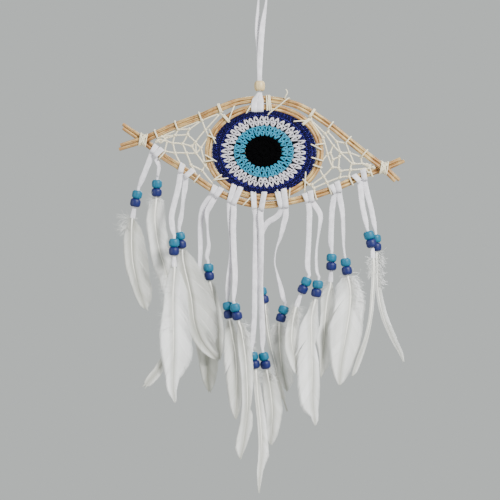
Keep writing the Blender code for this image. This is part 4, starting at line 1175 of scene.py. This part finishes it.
def strip(path, settings, centre, width=None, thickness=None):
    """Stations of a lace wound round something: its flat side faces away from the centre."""
    wide = width or settings.width / MM
    thick = thickness or settings.thickness / MM * 0.85
    return stations_along(path, lambda share: lace_section(wide, thick),
                          lambda index: (path[index] - centre(index)).normalized())


def make_lace_knot(number, lace, settings, material):
    """The two turns of a lace round the cane, leaning together, and the bridge behind them."""
    shape = new_shape()
    tubes, middles = [], []
    centre_x = sum(lace["wraps"]) / 2
    for order, x in enumerate(lace["wraps"]):
        middle, over, half = wrap_place(lace, x)
        forward = over.cross(FORWARD).normalized()
        gather = math.copysign(lace["gather"], (centre_x - x) * forward.x)
        clear = 0.5 + 0.75 * order
        path = loop_path(middle, over, half + clear, 2.05 + clear * 0.8, start=-90.0, count=33, gather=gather)
        tubes.append(strip(path, settings, lambda index, m=middle: m))
        middles.append(middle)
    first, second = middles
    back = -FORWARD * 2.9
    bridge = [first.lerp(second, share) + back * (1.12 + 0.1 * math.sin(math.pi * share))
              for share in (-0.1, 0.2, 0.5, 0.8, 1.1)]
    tubes.append(stations_along(smooth_path(bridge, 33),
                                lambda share: lace_section(settings.width / MM,
                                                           settings.thickness / MM * 0.85), -FORWARD))
    grow_tubes(shape, tubes)
    return finish_piece(f"lace_knot_{number}", shape, [material], "frame", sharp=50)


def hanging_route():
    """The hanging lace: up through the bead, over the nail and down again, with its half turn."""
    bottom, nail = THROAT_Z + 1.1, 2.2
    left = [(HANGER_X, 0.75, bottom), (HANGER_X, 0.75, -75), (-2.6, 0.9, -62), (-4.2, 1.2, -42),
            (-3.4, 1.0, -18), (-nail, 0.3, -2.2)]
    right = [(nail, -0.3, -2.2), (3.2, -1.0, -18), (-0.2, -1.2, -42), (-1.8, -0.9, -62),
             (HANGER_X, -0.75, -75), (HANGER_X, -0.75, bottom)]
    return left + [(0, 0, 0.6)] + right


def make_hanging_loop(settings, material):
    path = smooth_path(hanging_route(), 110)
    last = len(path) - 1
    outs = []
    for index, point in enumerate(path):
        along = path[min(index + 1, last)] - path[max(index - 1, 0)]
        rise = smooth_step(point.z, -62.0, -6.0)
        across = Vector((1, 0, 0)).lerp(Vector((0, 1, 0)), rise)
        outs.append(along.cross(across).normalized())

    def section_at(share):
        point = path[round(share * last)]
        narrow = 1.0 - smooth_step(point.z, -84.0, -68.0)
        wide = settings.width / MM
        return lace_section(wide + (4.0 - wide) * narrow, 1.15)

    shape = new_shape()
    grow_tubes(shape, [stations_along(path, section_at, lambda index: outs[index])])
    piece = finish_piece("hanging_lace", shape, [material], "hanger", ["hanging_loop"],
                         sharp=50)
    return piece


def make_hanger_wrap(settings, material):
    """The hanging lace's two ends, wound over bow and hoop and drawn together under the bead."""
    shape = new_shape()
    tubes = []
    for x, throat_x, depth in ((-6.9, -3.3, 2.45), (-1.7, -1.7, 2.6)):
        profile = [(throat_x, 0.8, -96.7), (throat_x + (x - throat_x) * 0.35, 2.0, -99.0),
                   (throat_x + (x - throat_x) * 0.8, depth, -102.5), (x, depth, -106.5),
                   (x, depth, -110.6), (x, 1.3, -112.7)]
        front = [(px, -py, pz) for px, py, pz in profile]
        path = smooth_path(front + list(reversed(profile)), 60)

        def section_at(share, points=path):
            near = smooth_step(points[round(share * 59)].z, -104.0, -97.0)
            wide = settings.width / MM * 1.08
            return lace_section(wide + (2.6 - wide) * near, 1.1)

        tubes.append(stations_along(path, section_at,
                                    lambda index, p=path:
                                    (p[index] - Vector((p[index].x, 0, -105.4))).normalized()))
    grow_tubes(shape, tubes)
    return finish_piece("hanger_lace_wrap", shape, [material], "frame", ["hanger_wrap"],
                        sharp=50)


# ---------------------------------------------------------------- thread
def thread_tubes(paths, radius, facing=FORWARD, sides=6):
    return [stations_along(path, lambda share: round_section(radius, sides), facing) for path in paths]


def round_turns(middle, over, half, depth, radius, turns, pitch, count=41):
    path = loop_path(middle, over, half + radius, depth + radius, turns, pitch, start=90.0, count=count)
    return stations_along(path, lambda share: round_section(radius, 7),
                          lambda index: (path[index] - middle).normalized())


def make_tip_binding(name, x, z, slant, settings, material, node):
    """Thick thread lashed over the crossing of the bows: square turns, then slanting ones over them."""
    shape = new_shape()
    middle = Vector((x, 0, z))
    radius = 0.62
    lay = math.radians(slant)
    tubes = []
    for turn, (offset, lean) in enumerate([(-2.6, 0), (-1.3, 0), (0.0, 0), (1.3, 0), (2.6, 0), (0, 34),
                                           (0, 28), (0, -34), (0, -28)]):
        angle = lay + math.radians(90 + lean)
        over = Vector((math.cos(angle), 0, math.sin(angle)))
        centre = middle + Vector((math.cos(lay), 0, math.sin(lay))) * offset
        half = 3.5 + abs(offset) * 0.5 + (0.7 if lean else 0.0)
        depth = 3.25 + (0.5 if lean else 0.0)
        tubes.append(round_turns(centre, over, half, depth, radius, 1.0, 0.7 * (-1) ** turn))
    grow_tubes(shape, tubes)
    return finish_piece(name, shape, [material], "frame", [node])


def make_top_binding(settings, material):
    shape = new_shape()
    tubes = []
    for x, lean in ((3.4, 3), (4.5, -2), (5.6, 2), (6.6, 6)):
        angle = math.radians(90 + lean)
        over = Vector((math.cos(angle), 0, math.sin(angle)))
        tubes.append(round_turns(Vector((x, 0, -105.6)), over, 6.1, 1.65, 0.55, 1.0, 0.5))
    grow_tubes(shape, tubes)
    return finish_piece("top_thread_turns", shape, [material], "frame",
                        ["top_thread_binding"])


def net_place(name, place):
    depth = 0.0 if name.startswith(("bow", "hoop", "twist")) else 0.35 * math.sin(place[0] * 3.7)
    return Vector((place[0], depth, place[1]))


def make_net(name, net, settings, material, node):
    """A net of waxed thread: knotted threads, turns round the canes, and a twisted bundle at the tip."""
    radius = settings.radius / MM
    places = {key: net_place(key, place) for key, place in net["knots"].items()}
    shape = new_shape()
    paths = []
    for chain in net["threads"]:
        keys = chain.split()
        for first, second in zip(keys, keys[1:]):
            start, end = places[first], places[second]
            middle = start.lerp(end, 0.5)
            slack = (end - start).cross(FORWARD).normalized() * 0.25 * math.sin(start.x + end.z)
            paths.append(smooth_path([start, middle + slack, end], 6))
    grow_tubes(shape, thread_tubes(paths, radius * 0.92))
    knots = []
    for key, place in places.items():
        if key[0] in "abcdef" and key[:2] != "bo":
            knots.extend(knot_turns(place, radius, key))
    grow_tubes(shape, knots)
    turns = [turn for key, place in places.items() for turn in cane_turns(key, place, radius)]
    grow_tubes(shape, turns)
    bundle = []
    for strand, (first, second) in enumerate(net["bundle"]):
        bundle.append(twisted_strand(places[first], places[second], strand, radius * 1.15))
    grow_tubes(shape, bundle)
    return finish_piece(name, shape, [material], "frame", [node])


def knot_turns(place, radius, key):
    """A half hitch: two small turns of thread that cross."""
    tubes = []
    for lean in (25, 115):
        angle = math.radians(lean + 40 * math.sin(place.x + place.z))
        over = Vector((math.cos(angle), 0, math.sin(angle)))
        path = loop_path(place, over, radius * 1.5, radius * 1.25, 1.0, radius * 0.6, start=90.0,
                         squareness=1.0, count=9)
        tubes.append(stations_along(path, lambda share: round_section(radius * 0.85, 6),
                                    lambda index, p=path: (p[index] - place).normalized()))
    return tubes


def cane_turns(key, place, radius):
    """Turns of thread round the bow or the hoop at a named place."""
    if key.startswith("bow"):
        towards = -1 if key[3] in "1234" else 1
        path = bow_path(UPPER_BOW if towards < 0 else LOWER_BOW, towards)
        point, along = bow_point(path, place.x)
        over = along.cross(FORWARD).normalized()
        doubled = key == "bow4" and place.x < 0 or key == "bow1" and place.x > 0
    elif key.startswith("hoop"):
        angle = eye_angle(place)
        point = hoop_place(angle)
        over = (hoop_place(angle, 1.0) - point).normalized()
        doubled = key == "hoop1"
    else:
        return []
    offsets = (-0.55, 0.55) if doubled else (0.0,)
    forward = over.cross(FORWARD).normalized()
    return [round_turns(point + forward * offset, over, 3.0, 1.55, radius * 0.95, 1.0, 0.8)
            for offset in offsets]


def twisted_strand(start, end, strand, radius):
    """One strand of a bundle: it winds round the bundle's middle line."""
    path = []
    along = (end - start).normalized()
    side = along.cross(FORWARD).normalized()
    for step in range(17):
        share = step / 16
        angle = 2 * math.pi * (share * 1.6 + strand / 4)
        swing = 1.0 * math.sin(math.pi * min(1.0, 0.15 + share * 0.85))
        path.append(start.lerp(end, share) + side * math.cos(angle) * swing
                    + FORWARD * math.sin(angle) * swing)
    return stations_along(path, lambda share: round_section(radius, 6), FORWARD)


def make_lacing(settings, material):
    """Thread that laces the crochet to the hoop, one stitch at a time, and its loose ends."""
    radius = settings.radius / MM * 0.85
    tubes = []
    for (inner_x, inner_z), (outer_x, outer_z) in LACING:
        inner, outer = Vector((inner_x, 0, inner_z)), Vector((outer_x, 0, outer_z))
        beyond = (outer - inner).normalized() * 0.6
        rise = [(0.0, 1.0), (0.06, 2.4), (0.4, 2.5), (0.75, 2.5), (0.96, 1.7)]
        front = [inner.lerp(outer, share) + FORWARD * depth for share, depth in rise]
        back = [inner.lerp(outer, share) - FORWARD * depth for share, depth in reversed(rise)]
        path = smooth_path([*front, outer + beyond, *back], 34)
        sideways = (outer - inner).cross(FORWARD).normalized()
        tubes.append(stations_along(path, lambda share: round_section(radius, 6), sideways))
    for points in (LONG_THREAD, LOOSE_END):
        path = smooth_path(points, 34)
        tubes.append(stations_along(path, lambda share: round_section(radius * 0.9, 6),
                                    Vector((0.3, 0.2, 1)).normalized()))
    shape = new_shape()
    grow_tubes(shape, tubes)
    return finish_piece("hoop_lacing", shape, [material], "frame")


# ---------------------------------------------------------------- crochet
def strand_stations(points, fat, thin, count=7):
    """A short length of yarn between two tucked ends, fattest in its middle."""
    path = smooth_path(points, count)

    def section_at(share):
        return round_section(thin + (fat - thin) * math.sin(math.pi * share) ** 0.6, 7)

    return stations_along(path, section_at, Vector((0.25, -0.9, 0.35)).normalized())


def crochet_round(count, low, high, radius, face, randomness, pointed=False):
    """One round of stitches: each has two plump legs that part towards its top, where a loop of
    yarn runs on to the next stitch. In a pointed round the legs meet in a spike instead."""
    tubes = []
    angles = even_angles(count, (low + high) / 2)
    gap = 2 * math.pi / count
    height = high - low
    shift = randomness.uniform(0, gap)
    for middle in angles:
        middle += shift + randomness.uniform(-0.1, 0.1) * gap
        lift = 1.0 + randomness.uniform(-0.14, 0.14)
        top = high + randomness.uniform(-0.05, 0.05) * height
        foot_part, top_part, thin = 0.11, 0.34, 0.62
        if pointed:
            top = high + randomness.uniform(-0.2, 0.22) * height
            foot_part, top_part, thin = 0.33, 0.02, 0.16
        lean = randomness.uniform(-0.1, 0.1) * gap
        for side in (-1, 1):
            foot = middle + side * foot_part * gap
            head = middle + side * top_part * gap + lean
            points = [eye_place(foot, low - 0.05 * height, -face * 0.1),
                      eye_place(foot, low + 0.12 * height, -face * 1.0 * lift),
                      eye_place((foot + head) / 2, (low + top) / 2, -face * 1.5 * lift),
                      eye_place(head, top - 0.14 * height, -face * 1.2 * lift),
                      eye_place(head, top + 0.04 * height, -face * (0.9 if pointed else 0.3))]
            fat = radius * randomness.uniform(0.86, 1.1)
            tubes.append(strand_stations(points, fat, radius * thin))
        if not pointed:
            points = [eye_place(middle + lean - 0.34 * gap, high - 0.16 * height, -face * 0.9),
                      eye_place(middle + lean, high - 0.1 * height, -face * 1.7),
                      eye_place(middle + lean + 0.3 * gap, high, -face * 1.6),
                      eye_place(middle + lean + 0.6 * gap, high + 0.1 * height, -face * 0.7)]
            tubes.append(strand_stations(points, radius * 0.72, radius * 0.4))
    return tubes


def backing_tubes(low, high, thickness):
    """The inner loops of a band as one flat ring, shown through its holes; in near-black it is painted shade."""
    steps = 73
    path, sections = [], []
    for step in range(steps):
        angle = 2 * math.pi * step / (steps - 1)
        inner, outer = eye_place(angle, low), eye_place(angle, high)
        path.append((inner + outer) / 2)
        sections.append((outer - inner).length / 2)

    def section_at(share):
        half = sections[round(share * (steps - 1))]
        return lace_section(half * 2, thickness)

    return [stations_along(path, section_at, FORWARD)]


def make_crochet_band(name, rounds, band, materials, node, seed, radius):
    """A band of crochet seen from both faces, over its inner loops; for the turquoise and white bands these are
    near-black painted shade.
    """
    randomness = random.Random(f"{seed} {name}")
    shape = new_shape()
    for face in (1, -1):
        for count, low, high, pointed in rounds:
            tubes = crochet_round(count, low, high, radius, face, randomness, pointed)
            grow_tubes(shape, tubes, [randomness.random() for _ in tubes])
    grow_tubes(shape, backing_tubes(*band, 0.9), [0.2], material=1)
    return finish_piece(name, shape, materials, "frame", [node])


# ---------------------------------------------------------------- operators
def ornament():
    return bpy.context.scene.ornament


class ORNAMENT_OT_stage(bpy.types.Operator):
    """Set up the camera, the floor, the surrounding light and the lamps"""
    bl_idname = "ornament.stage"
    bl_label = "Stage"

    def execute(self, context):
        settings = ornament().stage
        camera_data = bpy.data.cameras.new("camera")
        camera_data.angle = 2 * math.atan(settings.frame_width / 2 / settings.camera_distance)
        camera = bpy.data.objects.new("camera", camera_data)
        camera.location = (-0.0105, -settings.camera_distance, -0.229)
        camera.rotation_euler = (math.pi / 2, 0, 0)
        context.scene.collection.objects.link(camera)
        context.scene.camera = camera

        shape = bmesh.new()
        bmesh.ops.create_grid(shape, x_segments=2, y_segments=2, size=3.0)
        bmesh.ops.translate(shape, verts=shape.verts, vec=(0, 0, -1.7))
        mesh = bpy.data.meshes.new("floor")
        shape.to_mesh(mesh)
        shape.free()
        mesh.materials.append(pale_floor(settings))
        floor = bpy.data.objects.new("floor", mesh)
        context.scene.collection.objects.link(floor)

        world = bpy.data.worlds.new("studio")
        world.use_nodes = True
        background = world.node_tree.nodes["Background"]
        background.inputs["Color"].default_value = settings.backdrop
        background.inputs["Strength"].default_value = settings.glow
        context.scene.world = world

        lamps = [("key", (0.9, -1.1, 0.6), 0.45, 56.0), ("fill", (-1.3, -0.9, -0.1), 0.9, 12.0),
                 ("back", (0.3, 1.3, 0.4), 0.8, 16.0)]
        for name, place, size, power in lamps:
            light = bpy.data.lights.new(name, "AREA")
            light.size = size
            light.energy = power
            lamp = bpy.data.objects.new(name, light)
            lamp.location = place
            lamp.rotation_euler = (Vector((0, 0, -0.22)) - Vector(place)).to_track_quat("-Z", "Y").to_euler()
            context.scene.collection.objects.link(lamp)
        return {"FINISHED"}


class ORNAMENT_OT_hanging_lace(bpy.types.Operator):
    """Make the hanging lace, its wrap round the canes and its wooden bead"""
    bl_idname = "ornament.hanging_lace"
    bl_label = "Hanging lace"

    def execute(self, context):
        settings = ornament()
        material = suede(settings.lace)
        make_hanging_loop(settings.lace, material)
        make_hanger_wrap(settings.lace, material)
        outline = bead_outline(4.55, 8.2, 2.75, 0.76, 2.0)
        make_bead("natural_wood_bead", Vector((HANGER_X, 0, WOOD_BEAD_Z)), -UP, outline,
                  bare_wood(settings.bead), "sliding_bead", ["wooden_bead"],
                  segments=32)
        return {"FINISHED"}


class ORNAMENT_OT_tails(bpy.types.Operator):
    """Hang the laces' tails with their beads and feathers"""
    bl_idname = "ornament.tails"
    bl_label = "Laces, beads and feathers"

    def execute(self, context):
        settings = ornament()
        seed = settings.stage.seed
        material = bpy.data.materials["white_suede_lace"]
        paints = [painted_wood("turquoise_painted_beech", settings.bead.upper),
                  painted_wood("royal_blue_painted_beech", settings.bead.lower)]
        plumage = [feather_vane(settings.feather), feather_shaft(settings.feather)]
        randomness = random.Random(f"{seed} beads")
        for number, lace in LACES.items():
            make_lace_knot(number, lace, settings.lace, material)
            for (letter, tail), wrap_x in zip(lace["tails"].items(), lace["wraps"]):
                key = f"{number}{letter}"
                piece, path, centre, axis = make_lace_tail(key, lace, tail, wrap_x, settings.lace, material)
                beads = make_painted_beads(key, centre, axis, settings.bead, paints, randomness)
                feather = make_feather(key, tail, centre, axis, settings.feather, plumage, seed)
        return {"FINISHED"}


class ORNAMENT_OT_canes(bpy.types.Operator):
    """Make the bows and the hoop of the eye from single canes"""
    bl_idname = "ornament.canes"
    bl_label = "Canes"

    def execute(self, context):
        settings = ornament().cane
        radius = settings.radius / MM
        materials = [peeled_cane(settings), cane_pith(settings)]
        bows = [("upper", UPPER_BOW, -1, ((0, 1), (1, 0))), ("lower", LOWER_BOW, 1, ((1, 0), (0, 1)))]
        for word, points, towards, trims in bows:
            path = bow_path(points, towards)
            for order, (side, trim) in enumerate(zip((1, -1), trims)):
                line = cane_line(path, side * CANE_SPREAD, len(word) + order + towards, trim)
                make_cane(f"{word}_bow_cane_{order + 1}", line, radius, order + towards * 3, materials,
                          f"{word}_bow")
        start = math.radians(97)
        line = []
        for step in range(241):
            turn = step / 120
            offset = CANE_SPREAD * (1 - 2 * smooth_step(turn, 0.94, 1.06))
            line.append(hoop_place(start + 2 * math.pi * turn, offset,
                                   0.2 * noise.noise(Vector((turn * 7, 0.5, 0)))))
        make_cane("eye_hoop_cane", line, radius, 9, materials, "eye_hoop")
        return {"FINISHED"}


class ORNAMENT_OT_threads(bpy.types.Operator):
    """Tie the bindings, the nets and the lacing of the eye in waxed thread"""
    bl_idname = "ornament.threads"
    bl_label = "Thread"

    def execute(self, context):
        settings = ornament().thread
        material = twisted_thread(settings)
        make_tip_binding("left_tip_lashing", -100.5, -136.5, -9.0, settings, material, "left_tip_binding")
        make_tip_binding("right_tip_lashing", 102.0, -160.0, -8.0, settings, material, "right_tip_binding")
        make_top_binding(settings, material)
        make_net("left_net", LEFT_NET, settings, material, "left_web")
        make_net("right_net", RIGHT_NET, settings, material, "right_web")
        make_lacing(settings, material)
        return {"FINISHED"}


class ORNAMENT_OT_crochet(bpy.types.Operator):
    """Crochet the eye: pupil, turquoise, white and navy rounds"""
    bl_idname = "ornament.crochet"
    bl_label = "Crochet"

    def execute(self, context):
        settings = ornament().yarn
        seed = ornament().stage.seed
        radius = settings.radius / MM
        # Darker copies of the yarn colours, for the grooves between the plies: painted shade.
        darker = {word: tuple(channel * 0.55 for channel in getattr(settings, word)[:3]) + (1.0,)
                  for word in ("white", "turquoise", "black")}
        # Near-black painted shade, for the backing rings that show through the holes of the turquoise and white
        # bands.
        shadow = yarn("painted_shade_backing", colour("#04080c"), colour("#0a1218"), sheen=0.0,
                      specular=0.05)
        navy = yarn("navy_tweed_yarn", settings.navy, settings.navy_fleck, flecks=0.07,
                    sheen=0.03, specular=0.15)
        white = yarn("white_acrylic_yarn", darker["white"], settings.white)
        turquoise = yarn("turquoise_acrylic_yarn", darker["turquoise"], settings.turquoise)
        black = yarn("black_acrylic_yarn", darker["black"], settings.black, sheen=0.0, specular=0.04)
        make_crochet_band("black_pupil", [(8, 0.05, 0.36, False), (18, 0.36, 0.68, False),
                                          (26, 0.68, 0.97, False)], (-0.05, 0.99),
                          [black, black], "pupil", seed, radius * 1.15)
        make_crochet_band("turquoise_rounds", [(25, 1.03, 1.5, False), (31, 1.5, 1.98, False)],
                          (1.02, 1.97), [turquoise, shadow], "turquoise_ring",
                          seed, radius)
        make_crochet_band("white_rounds", [(36, 2.04, 2.5, False), (42, 2.48, 3.1, True)],
                          (2.02, 2.72), [white, shadow], "white_ring", seed,
                          radius)
        make_crochet_band("navy_rounds", [(64, 2.82, 3.28, False), (70, 3.28, 3.66, False),
                                          (76, 3.66, 3.98, False)], (2.72, 3.97),
                          [navy, navy], "navy_ring", seed, radius * 0.84)
        return {"FINISHED"}


class ORNAMENT_PT_panel(bpy.types.Panel):
    """Lists the steps that build the ornament"""
    bl_idname = "ORNAMENT_PT_panel"
    bl_label = "Eye ornament"
    bl_space_type = "VIEW_3D"
    bl_region_type = "UI"
    bl_category = "Ornament"

    def draw(self, context):
        for step in STEPS:
            self.layout.operator(step.bl_idname)


STEPS = [ORNAMENT_OT_stage, ORNAMENT_OT_hanging_lace, ORNAMENT_OT_tails, ORNAMENT_OT_canes,
         ORNAMENT_OT_threads, ORNAMENT_OT_crochet]
CLASSES = [CaneSettings, YarnSettings, LaceSettings, BeadSettings, ThreadSettings, FeatherSettings,
           StageSettings, OrnamentSettings, *STEPS, ORNAMENT_PT_panel]


def register():
    for item in CLASSES:
        bpy.utils.register_class(item)
    bpy.types.Scene.ornament = PointerProperty(type=OrnamentSettings)


def unregister():
    del bpy.types.Scene.ornament
    for item in reversed(CLASSES):
        bpy.utils.unregister_class(item)


def main():
    register()
    bpy.ops.ornament.stage()
    bpy.ops.ornament.hanging_lace()
    bpy.ops.ornament.tails()
    bpy.ops.ornament.canes()
    bpy.ops.ornament.threads()
    bpy.ops.ornament.crochet()


if __name__ == "__main__":
    main()
